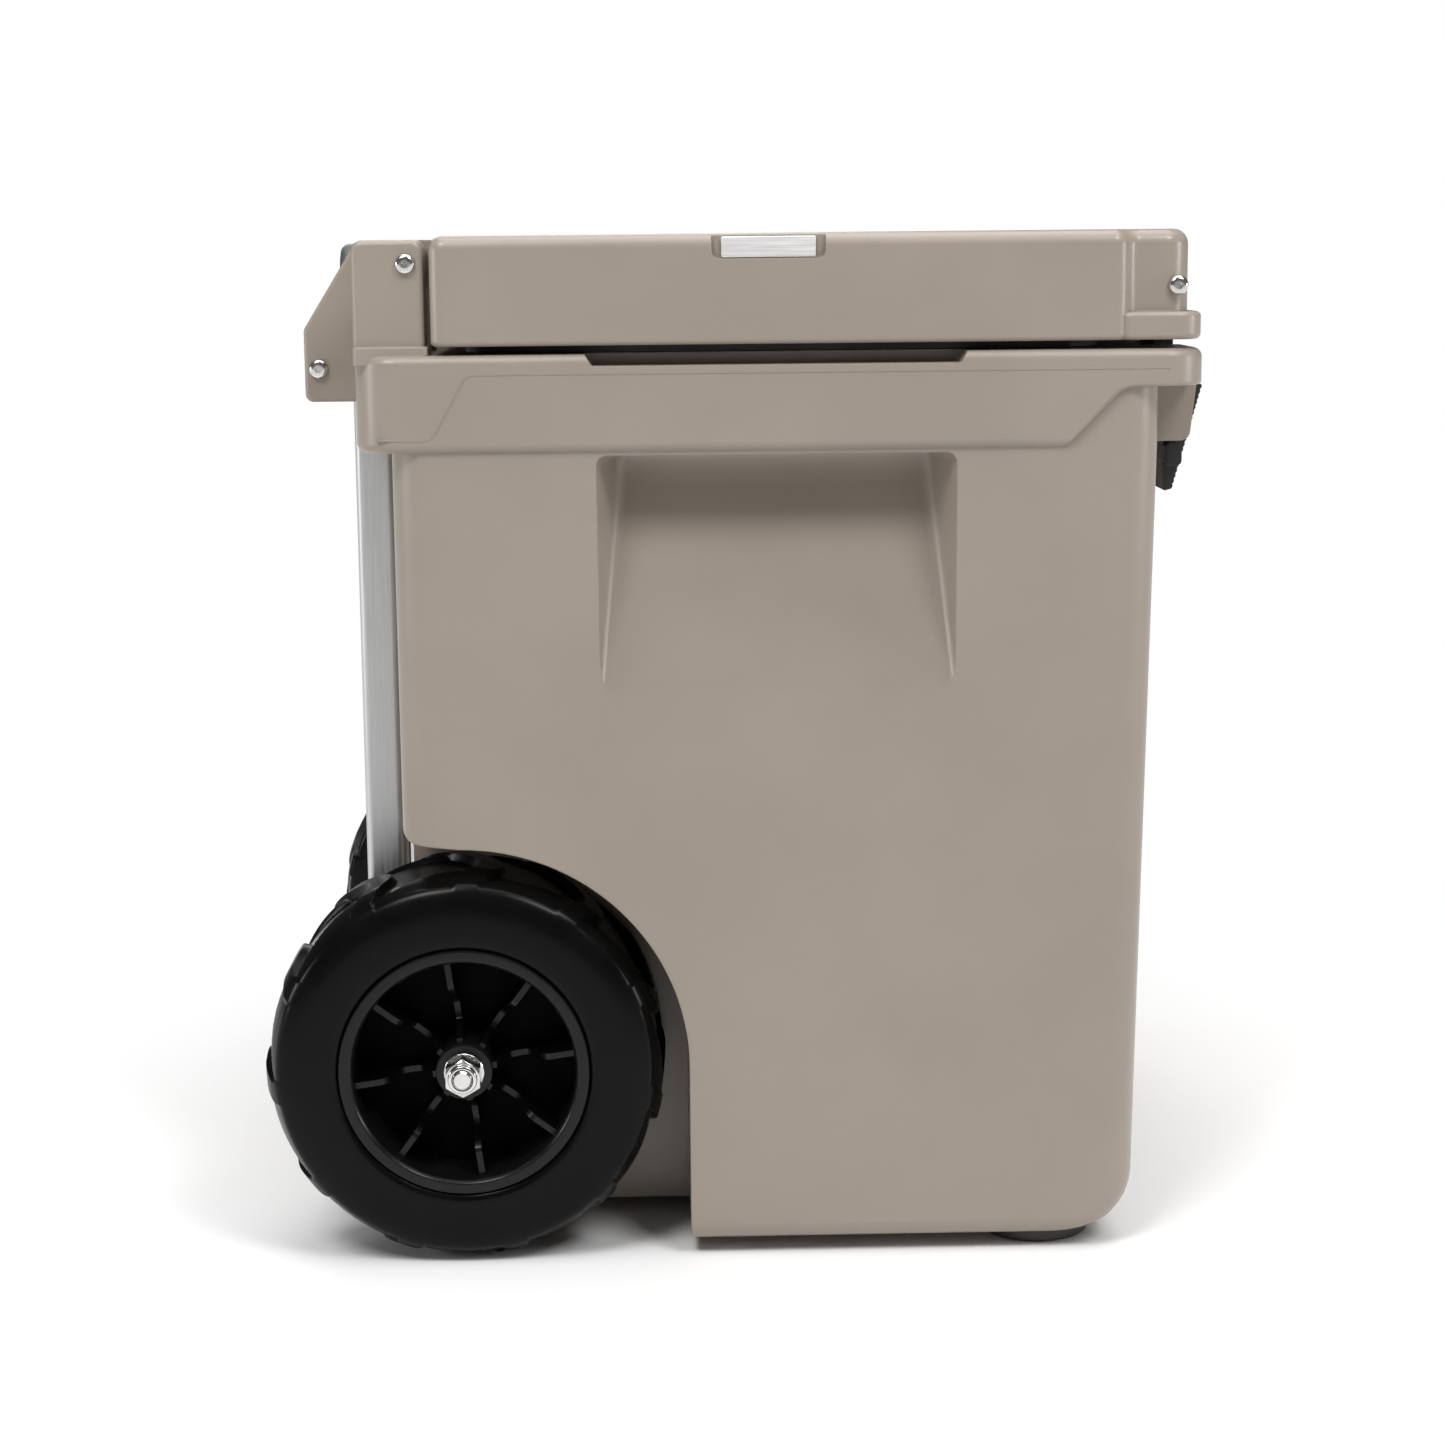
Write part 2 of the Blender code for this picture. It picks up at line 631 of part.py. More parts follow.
def rim_band(tan):
    """The thick band round the top, which thins to a lip at the front."""
    plan = rectangle(RIM_REAR_X, RIM_FRONT_X, -RIM_HALF_W, RIM_HALF_W, RIM_CORNER_R)
    band = pad(plan, RIM_BASE_Z, RIM_TOP_Z, RIM_EDGE_R, RIM_EDGE_R)
    item = piece("tool_rim_band", band, tan)
    below = RIM_BASE_Z - OVERRUN
    rise = outline((
        (SLANT_LOW_X, below, 0),
        (RIM_FRONT_X + OVERRUN, below, 0),
        (RIM_FRONT_X + OVERRUN, LIP_BASE_Z, 0),
        (SLANT_HIGH_X, LIP_BASE_Z, RIM_EDGE_R),
    ))
    cut(item, prism(rise, "Y", -RIM_HALF_W - OVERRUN, RIM_HALF_W + OVERRUN), "rise")
    item.hide_render = True
    item.display_type = "WIRE"
    return item


def side_notch(side):
    """The dropped stretch of the rim's outer edge, with leaning shoulders."""
    depth = SIDE_NOTCH_DEPTH
    floor_z = RIM_TOP_Z - depth
    top_z = RIM_TOP_Z + OVERRUN
    lean = depth + OVERRUN
    shape = outline((
        (BODY_MIDDLE_X - SIDE_NOTCH_HALF_L, floor_z, 0),
        (BODY_MIDDLE_X + SIDE_NOTCH_HALF_L, floor_z, 0),
        (BODY_MIDDLE_X + SIDE_NOTCH_HALF_L + lean, top_z, 0),
        (BODY_MIDDLE_X - SIDE_NOTCH_HALF_L - lean, top_z, 0),
    ))
    edges = sorted((side * (RIM_HALF_W - SIDE_NOTCH_IN), side * (RIM_HALF_W + OVERRUN)))
    return prism(shape, "Y", *edges)


def hand_hold(side):
    """A wedge-shaped pocket, deepest under the rim and run out at its lower edge."""
    outer_y = side * (BODY_HALF_W + OVERRUN)
    inner_y = side * (BODY_HALF_W - HOLD_DEPTH)
    grow = OVERRUN * HOLD_SIDE_IN / HOLD_DEPTH
    fall = OVERRUN * (HOLD_TOP_Z - HOLD_BACK_H - HOLD_BOTTOM_Z) / HOLD_DEPTH
    outer_half = HOLD_HALF_L + grow
    inner_half = HOLD_HALF_L - HOLD_SIDE_IN
    rings = []
    spans = (
        (outer_y, outer_half, HOLD_BOTTOM_Z - fall),
        (inner_y, inner_half, HOLD_TOP_Z - HOLD_BACK_H),
    )
    for y, half, low_z in spans:
        rear_x = BODY_MIDDLE_X - half
        front_x = BODY_MIDDLE_X + half
        rings.append([(rear_x, y, low_z), (front_x, y, low_z),
                      (front_x, y, HOLD_TOP_Z), (rear_x, y, HOLD_TOP_Z)])
    form = skin(rings)
    bevel_edges(form, HOLD_EDGE_R,
                lambda edge: min(abs(vert.co.y) for vert in edge.verts) < BODY_HALF_W)
    return form


def wheel_well(side):
    """The pocket for one wheel, round over the tyre and open to the rear and below."""
    reach_x = BODY_REAR_X - OVERRUN
    below = BODY_BASE_Z - OVERRUN
    corners = [(reach_x, below, 0), (AXLE_X + WELL_R, below, 0)]
    steps = ARC_STEPS * 3
    for step in range(steps + 1):
        turn = math.pi / 2 * step / steps
        corners.append((AXLE_X + WELL_R * math.cos(turn), AXLE_Z + WELL_R * math.sin(turn), 0))
    roof_z = AXLE_Z + WELL_R + WELL_RISE
    corners.append((BODY_REAR_X, roof_z, WELL_EDGE_R))
    corners.append((BODY_REAR_X, roof_z + WELL_EDGE_R + OVERRUN, 0))
    corners.append((reach_x, roof_z + WELL_EDGE_R + OVERRUN, 0))
    edges = sorted((side * WELL_INNER_Y, side * (BODY_HALF_W + OVERRUN)))
    return prism(outline(corners), "Y", *edges)


def cavity_low():
    """The cavity beside and in front of the wheel wells, T-shaped in plan."""
    wide = CAVITY_HALF_W - CAVITY_STEP
    front_x = CAVITY_FRONT_X - CAVITY_STEP
    radius = CAVITY_CORNER_R
    plan = outline((
        (CAVITY_REAR_X + CAVITY_STEP, -CAVITY_NARROW, radius),
        (CAVITY_STEP_X, -CAVITY_NARROW, radius),
        (CAVITY_STEP_X, -wide, radius),
        (front_x, -wide, radius),
        (front_x, wide, radius),
        (CAVITY_STEP_X, wide, radius),
        (CAVITY_STEP_X, CAVITY_NARROW, radius),
        (CAVITY_REAR_X + CAVITY_STEP, CAVITY_NARROW, radius),
    ))
    return pad(plan, CAVITY_FLOOR_Z, CAVITY_STEP_Z + OVERRUN, CAVITY_EDGE_R, 0)


def cavity_high():
    plan = rectangle(CAVITY_REAR_X, CAVITY_FRONT_X, -CAVITY_HALF_W, CAVITY_HALF_W, CAVITY_CORNER_R)
    return pad(plan, CAVITY_STEP_Z, RIM_TOP_Z + OVERRUN, 0, 0)


def ear_front_corners(base_z):
    """The corners of an ear's front and top, round the hinge rod."""
    front_x = HINGE_X + EAR_FRONT
    return [(front_x, base_z, 0), (front_x, EAR_TOP_Z, EAR_TOP_R)]


def hinge_post(side):
    """The outer ear of the hinge, at the body's rear corner."""
    base_z = RIM_TOP_Z - RIM_EDGE_R
    corners = ear_front_corners(base_z)
    corners += [(POST_REAR_X, EAR_TOP_Z, EAR_TOP_R), (POST_REAR_X, base_z, 0)]
    edges = sorted((side * POST_INNER_Y, side * POST_OUTER_Y))
    form = prism(outline(corners), "Y", *edges)
    outer = POST_OUTER_Y - MERGE
    bevel_edges(form, POST_EDGE_R,
                lambda edge: all(abs(vert.co.y) > outer for vert in edge.verts))
    return form


def post_pad(side):
    """The low pad that a hinge post stands on."""
    front_x = HINGE_X + EAR_FRONT + PAD_MARGIN
    rear_x = POST_REAR_X
    inner_y = POST_INNER_Y - PAD_MARGIN
    outer_y = RIM_HALF_W - PAD_MARGIN
    low, high = sorted((side * inner_y, side * outer_y))
    plan = rectangle(rear_x, front_x, low, high, PAD_MARGIN * 2)
    return pad(plan, RIM_TOP_Z - RIM_EDGE_R, RIM_TOP_Z + PAD_T, 0, PAD_MARGIN / 2)


def wing(side):
    """The inner ear of the hinge, which slopes back to the handle's mounting rod."""
    root_z = RIM_TOP_Z - RIM_EDGE_R
    corners = ear_front_corners(root_z)
    corners += [
        (WING_TOP_X, EAR_TOP_Z, WING_CORNER_R),
        (WING_REAR_X, WING_KNEE_Z, WING_CORNER_R),
        (WING_REAR_X, WING_BASE_Z, WING_CORNER_R),
        (BODY_REAR_X - RIM_EDGE_R, WING_BASE_Z, 0),
        (BODY_REAR_X - RIM_EDGE_R, root_z, 0),
    ]
    edges = sorted((side * (WING_INNER_Y - OVERRUN), side * WING_OUTER_Y))
    form = prism(outline(corners), "Y", *edges)
    outer = WING_OUTER_Y - MERGE
    bevel_edges(form, POST_EDGE_R / 2,
                lambda edge: all(abs(vert.co.y) > outer for vert in edge.verts))
    return form


def keeper(side, beside):
    """One keeper of a latch, which the latch's ear hooks under."""
    root_x = BODY_FRONT_X - RIM_EDGE_R
    middle = side * LATCH_MIDDLE_Y
    inner = middle + beside * (LATCH_HALF_W + SLOT_CLEAR)
    outer = middle + beside * (GUARD_HALF_IN + GUARD_T / 2)
    shape = rectangle(root_x, KEEPER_X, KEEPER_Z, LIP_BASE_Z + RIM_EDGE_R)
    return prism(shape, "Y", *sorted((inner, outer)))


def latch_guard(side, beside):
    """The guard beside a keeper, which hides the latch's ear from the side."""
    root_x = BODY_FRONT_X - RIM_EDGE_R
    top_z = LIP_BASE_Z + RIM_EDGE_R
    middle = side * LATCH_MIDDLE_Y
    inner = middle + beside * GUARD_HALF_IN
    outer = inner + beside * GUARD_T
    shape = outline((
        (root_x, KEEPER_Z, 0),
        (BODY_FRONT_X + GUARD_FOOT_OUT, KEEPER_Z, GUARD_R),
        (BODY_FRONT_X + GUARD_TOP_OUT, top_z, 0),
        (root_x, top_z, 0),
    ))
    return prism(shape, "Y", *sorted((inner, outer)))


def lip_slots(side):
    """The way through the rim's lip for a latch's strap and, further out, for its ears."""
    middle = side * LATCH_MIDDLE_Y
    narrow = LATCH_HALF_W + SLOT_CLEAR
    front_x = RIM_FRONT_X + OVERRUN
    top_z = RIM_TOP_Z + OVERRUN
    strap = box((BODY_FRONT_X, middle - narrow, LIP_BASE_Z - OVERRUN), (front_x, middle + narrow, top_z))
    wide = GUARD_HALF_IN
    ears = box((KEEPER_X, middle - wide, LIP_BASE_Z - OVERRUN), (front_x, middle + wide, top_z))
    return strap, ears


def body_shell(tan):
    """The one-piece body: walls, rim, hinge ears and keepers, less its cavities."""
    body = piece("body_shell", body_block(), tan)
    rim = rim_band(tan)
    modifier = body.modifiers.new("rim", "BOOLEAN")
    modifier.operation = "UNION"
    modifier.object = rim
    for name, side in SIDES:
        add(body, hinge_post(side), f"post_{name}")
        add(body, post_pad(side), f"pad_{name}")
        add(body, wing(side), f"wing_{name}")
        for beside in (-1, 1):
            add(body, keeper(side, beside), f"keeper_{name}_{beside}")
            add(body, latch_guard(side, beside), f"guard_{name}_{beside}")
        strap, ears = lip_slots(side)
        cut(body, strap, f"strap_slot_{name}")
        cut(body, ears, f"ear_slot_{name}")
        cut(body, side_notch(side), f"notch_{name}")
        cut(body, hand_hold(side), f"hold_{name}")
        cut(body, wheel_well(side), f"well_{name}")
        foot = Vector((FOOT_X, side * FOOT_Y, BODY_BASE_Z))
        cut(body, cylinder("Z", foot, FOOT_STEM_R + FIT_GAP, -OVERRUN, FOOT_STEM_L + FIT_GAP),
            f"foot_{name}")
        screw = Vector((BODY_REAR_X, side * TUBE_MIDDLE_Y, BRACKET_SCREW_Z))
        cut(body, cylinder("X", screw, BRACKET_SCREW_R + FIT_GAP, -OVERRUN,
                           BRACKET_SCREW_L + FIT_GAP), f"bracket_{name}")
    handle_bay = box((WING_REAR_X - OVERRUN, -WING_INNER_Y, RIM_BASE_Z - OVERRUN),
                     (BODY_REAR_X, WING_INNER_Y, EAR_TOP_Z + OVERRUN))
    cut(body, handle_bay, "handle_bay")
    cut(body, cavity_low(), "cavity_low")
    cut(body, cavity_high(), "cavity_high")
    rod_bores = (
        ("hinge", HINGE_X, HINGE_Z, ROD_R + FIT_GAP, RIM_HALF_W),
        ("handle", HANDLE_ROD_X, HANDLE_ROD_Z, ROD_R + FIT_GAP, RIM_HALF_W),
        ("axle", AXLE_X, AXLE_Z, AXLE_R + FIT_GAP, RIM_HALF_W),
    )
    for label, x, z, radius, reach in rod_bores:
        cut(body, cylinder("Y", Vector((x, 0, z)), radius, -reach, reach), f"{label}_bore")
    drain = Vector((BODY_REAR_X, 0, DRAIN_Z))
    cut(body, cylinder("X", drain, DRAIN_BORE_R, -OVERRUN, CAVITY_REAR_X + CAVITY_STEP + OVERRUN - BODY_REAR_X),
        "drain")
    return body


def lid_plan(front_x):
    """The lid's outline from above, stepped in beside the latch rod's screws."""
    half = LID_HALF_W
    narrow = half - LID_STEP_IN
    step_end = LID_STEP_X + LID_STEP_L
    side_corners = [
        (LID_REAR_X, -half, LID_REAR_CORNER_R),
        (LID_STEP_X, -half, LID_STEP_R),
        (step_end, -narrow, LID_STEP_R),
        (front_x, -narrow, LID_CORNER_R),
    ]
    mirrored = [(x, -y, radius) for x, y, radius in reversed(side_corners)]
    return outline(side_corners + mirrored)


def knuckle(low, high):
    """A hinge knuckle round the rod, rooted in the lid's back."""
    root_x = LID_BACK_X + LID_TOP_R
    points = [Vector((root_x, HINGE_Z - KNUCKLE_R))]
    steps = ARC_STEPS * 3
    points.append(Vector((root_x, HINGE_Z + KNUCKLE_R)))
    for step in range(steps + 1):
        turn = math.pi / 2 + math.pi * step / steps
        points.append(Vector((HINGE_X + KNUCKLE_R * math.cos(turn),
                              HINGE_Z + KNUCKLE_R * math.sin(turn))))
    return prism(points, "Y", low, high)


def lid_shell(tan, on):
    """The lid: a deep tray-like moulding with a lip, knuckles and slots for the latches."""
    upper = pad(lid_plan(LID_FRONT_X), LID_BASE_Z, LID_TOP_Z, LID_EDGE_R, LID_TOP_R)
    lid = piece("lid_shell", upper, tan, on)
    lip_plan = rectangle(LID_STEP_X - LID_STEP_L, LID_LIP_X, -LID_HALF_W, LID_HALF_W, LID_CORNER_R)
    add(lid, pad(lip_plan, LID_BASE_Z, LID_LIP_TOP_Z, LID_EDGE_R, LID_EDGE_R), "lip")
    plug_plan = rectangle(CAVITY_REAR_X + PLUG_CLEAR, CAVITY_FRONT_X - PLUG_CLEAR,
                          PLUG_CLEAR - CAVITY_HALF_W, CAVITY_HALF_W - PLUG_CLEAR,
                          CAVITY_CORNER_R - PLUG_CLEAR)
    add(lid, pad(plug_plan, LID_BASE_Z - PLUG_DEPTH, LID_BASE_Z + LID_EDGE_R, LID_EDGE_R, 0), "plug")
    back = box((LID_REAR_X - OVERRUN, CHEEK_T - LID_HALF_W, LID_BASE_Z - OVERRUN),
               (LID_BACK_X, LID_HALF_W - CHEEK_T, LID_TOP_Z + OVERRUN))
    cut(lid, back, "back")
    knuckle_in = WING_OUTER_Y + KNUCKLE_GAP
    knuckle_out = POST_INNER_Y - KNUCKLE_GAP
    add(lid, knuckle(-knuckle_out, -knuckle_in), "knuckle_right")
    add(lid, knuckle(knuckle_in, knuckle_out), "knuckle_left")
    add(lid, knuckle(-CENTRE_KNUCKLE_HALF, CENTRE_KNUCKLE_HALF), "knuckle_centre")
    panel = rectangle(LID_REAR_X + LID_PANEL_IN, LID_FRONT_X - LID_PANEL_IN,
                      LID_PANEL_IN - LID_HALF_W, LID_HALF_W - LID_PANEL_IN, LID_CORNER_R)
    cut(lid, pad(panel, LID_TOP_Z - LID_PANEL_DEPTH, LID_TOP_Z + OVERRUN, 0, 0), "panel")
    for name, side in SIDES:
        middle = side * LATCH_MIDDLE_Y
        half = LATCH_HALF_W + SLOT_CLEAR
        low = (LATCH_ROD_X - LATCH_LOOP_R - SLOT_CLEAR, middle - half, LID_BASE_Z - OVERRUN)
        high = (LID_LIP_X + OVERRUN, middle + half, LATCH_ROD_Z + LATCH_LOOP_R + SLOT_CLEAR)
        cut(lid, box(low, high), f"slot_{name}")
    notch_half = PLATE_HALF_L + PLATE_NOTCH_SIDE
    notch = outline((
        (PLATE_MIDDLE_X - notch_half, PLATE_BASE_Z - FIT_GAP, PLATE_NOTCH_R),
        (PLATE_MIDDLE_X + notch_half, PLATE_BASE_Z - FIT_GAP, PLATE_NOTCH_R),
        (PLATE_MIDDLE_X + notch_half, LID_TOP_Z + OVERRUN, 0),
        (PLATE_MIDDLE_X - notch_half, LID_TOP_Z + OVERRUN, 0),
    ))
    cut(lid, prism(notch, "Y", -LID_HALF_W - OVERRUN, PLATE_NOTCH_DEPTH - LID_HALF_W), "plate_notch")
    for label, x, z in (("hinge", HINGE_X, HINGE_Z), ("latch", LATCH_ROD_X, LATCH_ROD_Z)):
        gap = RUN_GAP if label == "hinge" else FIT_GAP
        bore = cylinder("Y", Vector((x, 0, z)), ROD_R + gap, -LID_HALF_W, LID_HALF_W)
        cut(lid, bore, f"{label}_bore")
    return lid


def lid_seal(black, on):
    """The flat seal between the lid and the rim, round the cavity's mouth."""
    out = SEAL_IN + SEAL_W
    rings = []
    for margin in (out, SEAL_IN):
        rings.append(rectangle(CAVITY_REAR_X - margin, CAVITY_FRONT_X + margin,
                               -CAVITY_HALF_W - margin, CAVITY_HALF_W + margin,
                               CAVITY_CORNER_R + margin))
    form = hollow(rings[0], rings[1], RIM_TOP_Z + FIT_GAP, LID_BASE_Z - FIT_GAP)
    return piece("lid_seal", form, black, on)


def side_plate(metal, on):
    outer_y = PLATE_NOTCH_DEPTH - LID_HALF_W - FIT_GAP
    shape = rectangle(PLATE_MIDDLE_X - PLATE_HALF_L, PLATE_MIDDLE_X + PLATE_HALF_L,
                      PLATE_BASE_Z, PLATE_BASE_Z + PLATE_H, PLATE_T / 2)
    return piece("lid_side_plate", prism(shape, "Y", outer_y - PLATE_T, outer_y), metal, on)


def rod(name, x, z, half_length, metal, on=None):
    """A round rod across the cooler, bored at both ends for its screws."""
    profile = [
        (0, half_length - SCREW_BORE_DEPTH),
        (SCREW_BORE_R, half_length - SCREW_BORE_DEPTH),
        (SCREW_BORE_R, half_length),
        (ROD_R, half_length),
    ]
    profile += [(radius, -place) for radius, place in reversed(profile)]
    return piece(name, turned(profile, "Y", Vector((x, 0, z)), ROD_STEPS), metal, on)


def rod_screws(name, x, z, half_length, metal, on=None):
    """The two button-head screws in the ends of a rod."""
    seat = FIT_GAP
    dome = [(SCREW_SOCKET_R, seat + SCREW_HEAD_H)]
    for step in range(1, ARC_STEPS + 1):
        turn = math.pi / 2 * step / ARC_STEPS
        radius = SCREW_SOCKET_R + (SCREW_HEAD_R - SCREW_SOCKET_R) * math.sin(turn)
        dome.append((radius, seat + SCREW_HEAD_H * (0.2 + 0.8 * math.cos(turn))))
    profile = [(0, seat + SCREW_HEAD_H - SCREW_SOCKET_DEPTH),
               (SCREW_SOCKET_R, seat + SCREW_HEAD_H - SCREW_SOCKET_DEPTH)]
    profile += dome
    profile += [(SCREW_HEAD_R, seat), (SCREW_SHANK_R, seat),
                (SCREW_SHANK_R, seat - SCREW_SHANK_L), (0, seat - SCREW_SHANK_L)]
    for end, side in SIDES:
        shape = [(radius, side * place) for radius, place in profile]
        form = turned(shape, "Y", Vector((x, side * half_length, z)), ROD_STEPS)
        piece(f"{name}_{end}", form, metal, on)


def latch(name, side, black, on):
    """A rubber T-latch: a loop round the rod, a strap, ears and a ridged finger pad."""
    x = LATCH_ROD_X
    z = LATCH_ROD_Z
    middle = side * LATCH_MIDDLE_Y
    pad_top = Vector((x + LATCH_SWELL, z - LATCH_SHOULDER))
    tip_front = Vector((x + LATCH_FRONT, z - LATCH_LENGTH + LATCH_TIP_T / 4))
    points = []
    steps = ARC_STEPS * 2
    for step in range(steps + 1):
        turn = math.pi * step / steps
        points.append(Vector((x + LATCH_LOOP_R * math.cos(turn), z + LATCH_LOOP_R * math.sin(turn))))
    points.append(Vector((x - LATCH_BACK, z - LATCH_NECK)))
    points.append(Vector((x - LATCH_BACK, z - LATCH_SHOULDER - LATCH_FRONT)))
    points.append(Vector((x + LATCH_EAR_BACK, z - LATCH_EAR_DROP)))
    points.append(Vector((x + LATCH_FRONT - LATCH_TIP_T, z - LATCH_LENGTH)))
    fall = tip_front - pad_top
    outward = Vector((-fall.y, fall.x)).normalized() * LATCH_RIDGE_H
    for ridge in range(LATCH_RIDGES, -1, -1):
        place = pad_top + fall * (ridge / LATCH_RIDGES)
        if ridge < LATCH_RIDGES:
            points.append(place + fall * (0.5 / LATCH_RIDGES) + outward)
        points.append(place)
    points.append(Vector((x + LATCH_FRONT, z - LATCH_SHOULDER + LATCH_TIP_T / 2)))
    strap = prism(points, "Y", middle - LATCH_HALF_W, middle + LATCH_HALF_W)
    item = piece(name, strap, black, on)
    ear_low = z - LATCH_EAR_DROP - LATCH_EAR_H
    ears = rectangle(x + LATCH_EAR_BACK, x + LATCH_EAR_BACK + LATCH_EAR_T, ear_low,
                     z - LATCH_EAR_DROP, LATCH_EAR_T / 4)
    add(item, prism(ears, "Y", middle - LATCH_EAR_HALF, middle + LATCH_EAR_HALF), "ears")
    bore = cylinder("Y", Vector((x, middle, z)), ROD_R + RUN_GAP, -LATCH_HALF_W - OVERRUN,
                    LATCH_HALF_W + OVERRUN)
    cut(item, bore, "bore")
    return item


def tube_outline(side, shrink, radius):
    """The outline of a handle tube, drawn in all round from the outer tube's."""
    middle = side * TUBE_MIDDLE_Y
    half_deep = TUBE_DEEP / 2 - shrink
    half_wide = TUBE_WIDE / 2 - shrink
    return rectangle(TUBE_MIDDLE_X - half_deep, TUBE_MIDDLE_X + half_deep,
                     middle - half_wide, middle + half_wide, radius)


def handle_tubes(aluminium, body_on, middle_on, top_on):
    """Three tubes one inside the other on each side, and the collars they slide in."""
    stages = (
        ("outer", 0, OUTER_WALL, TUBE_FOOT_Z, OUTER_TOP_Z, body_on),
        ("middle", MIDDLE_SHRINK, MIDDLE_WALL, MIDDLE_FOOT_Z, MIDDLE_TOP_Z, middle_on),
        ("inner", INNER_SHRINK, INNER_WALL, INNER_FOOT_Z, INNER_TOP_Z, top_on),
    )
    for name, side in SIDES:
        for stage, shrink, wall, low, high, on in stages:
            outer = tube_outline(side, shrink, max(TUBE_R - shrink, wall))
            inner = tube_outline(side, shrink + wall, max(TUBE_R - shrink - wall, wall / 2))
            piece(f"{stage}_tube_{name}", hollow(outer, inner, low, high), aluminium, on)


def tube_collars(grey, middle_on):
    """The moulded collars on top of the outer and the middle tubes."""
    collars = (
        ("outer", OUTER_WALL, OUTER_TOP_Z, None),
        ("middle", MIDDLE_SHRINK + MIDDLE_WALL, MIDDLE_TOP_Z, middle_on),
    )
    for name, side in SIDES:
        for stage, shrink, seat, on in collars:
            outer = tube_outline(side, 0, TUBE_R)
            inner = tube_outline(side, shrink, TUBE_R / 2)
            low = seat + FIT_GAP
            form = hollow(outer, inner, low, low + COLLAR_T)
            piece(f"{stage}_collar_{name}", form, grey, on)


def handle_housing(grey):
    """The block that holds the tubes' tops and hangs on the cross rod between the wings."""
    half = WING_INNER_Y - RUN_GAP
    shape = rectangle(HOUSING_REAR_X, HOUSING_FRONT_X, HOUSING_BASE_Z, HOUSING_TOP_Z, HOUSING_R)
    item = piece("handle_housing", prism(shape, "Y", -half, half), grey)
    for name, side in SIDES:
        socket = prism(tube_outline(side, -FIT_GAP, TUBE_R), "Z",
                       HOUSING_BASE_Z - OVERRUN, HOUSING_TOP_Z + OVERRUN)
        cut(item, socket, f"socket_{name}")
    bore = cylinder("Y", Vector((HANDLE_ROD_X, 0, HANDLE_ROD_Z)), ROD_R + FIT_GAP,
                    -half - OVERRUN, half + OVERRUN)
    cut(item, bore, "rod_bore")
    return item


def handle_grip(grey, on):
    """The cross grip: two legs over the inner tubes and a hollow bar with a button in it."""
    half = GRIP_HALF_W
    inner = half - GRIP_LEG_W
    shape = outline((
        (-half, GRIP_LEG_Z, 0),
        (-inner, GRIP_LEG_Z, 0),
        (-inner, GRIP_BAR_Z, GRIP_INNER_R),
        (inner, GRIP_BAR_Z, GRIP_INNER_R),
        (inner, GRIP_LEG_Z, 0),
        (half, GRIP_LEG_Z, 0),
        (half, GRIP_TOP_Z, GRIP_OUTER_R),
        (-half, GRIP_TOP_Z, GRIP_OUTER_R),
    ))
    form = prism(shape, "X", GRIP_REAR_X, GRIP_FRONT_X)
    bevel_edges(form, GRIP_EDGE_R,
                lambda edge: abs(edge.verts[0].co.x - edge.verts[1].co.x) < MERGE)
    item = piece("handle_grip", form, grey, on)
    for name, side in SIDES:
        socket = prism(tube_outline(side, INNER_SHRINK - FIT_GAP, INNER_WALL), "Z",
                       GRIP_LEG_Z - OVERRUN, INNER_TOP_Z + FIT_GAP)
        cut(item, socket, f"socket_{name}")
        foot = Vector((TUBE_MIDDLE_X, side * TUBE_MIDDLE_Y, 0))
        cut(item, cylinder("Z", foot, RELEASE_ROD_R + RUN_GAP, GRIP_LEG_Z, YOKE_BASE_Z,
                           steps=ARC_STEPS * 4), f"release_bore_{name}")
    deep = BUTTON_HALF_DEEP + RUN_GAP
    reach = TUBE_MIDDLE_Y + RELEASE_ROD_R + OVERRUN
    channel = box((TUBE_MIDDLE_X - deep + BUTTON_HALF_DEEP / 2, -reach, CHANNEL_BASE_Z),
                  (TUBE_MIDDLE_X + deep - BUTTON_HALF_DEEP / 2, reach, CHANNEL_TOP_Z))
    cut(item, channel, "channel")
    window_half = BUTTON_HALF_W + RUN_GAP
    window = prism(rectangle(TUBE_MIDDLE_X - deep, TUBE_MIDDLE_X + deep, -window_half, window_half,
                             BUTTON_R), "Z", YOKE_TOP_Z - BUTTON_TRAVEL - RUN_GAP, GRIP_TOP_Z + OVERRUN)
    cut(item, window, "window")
    return item


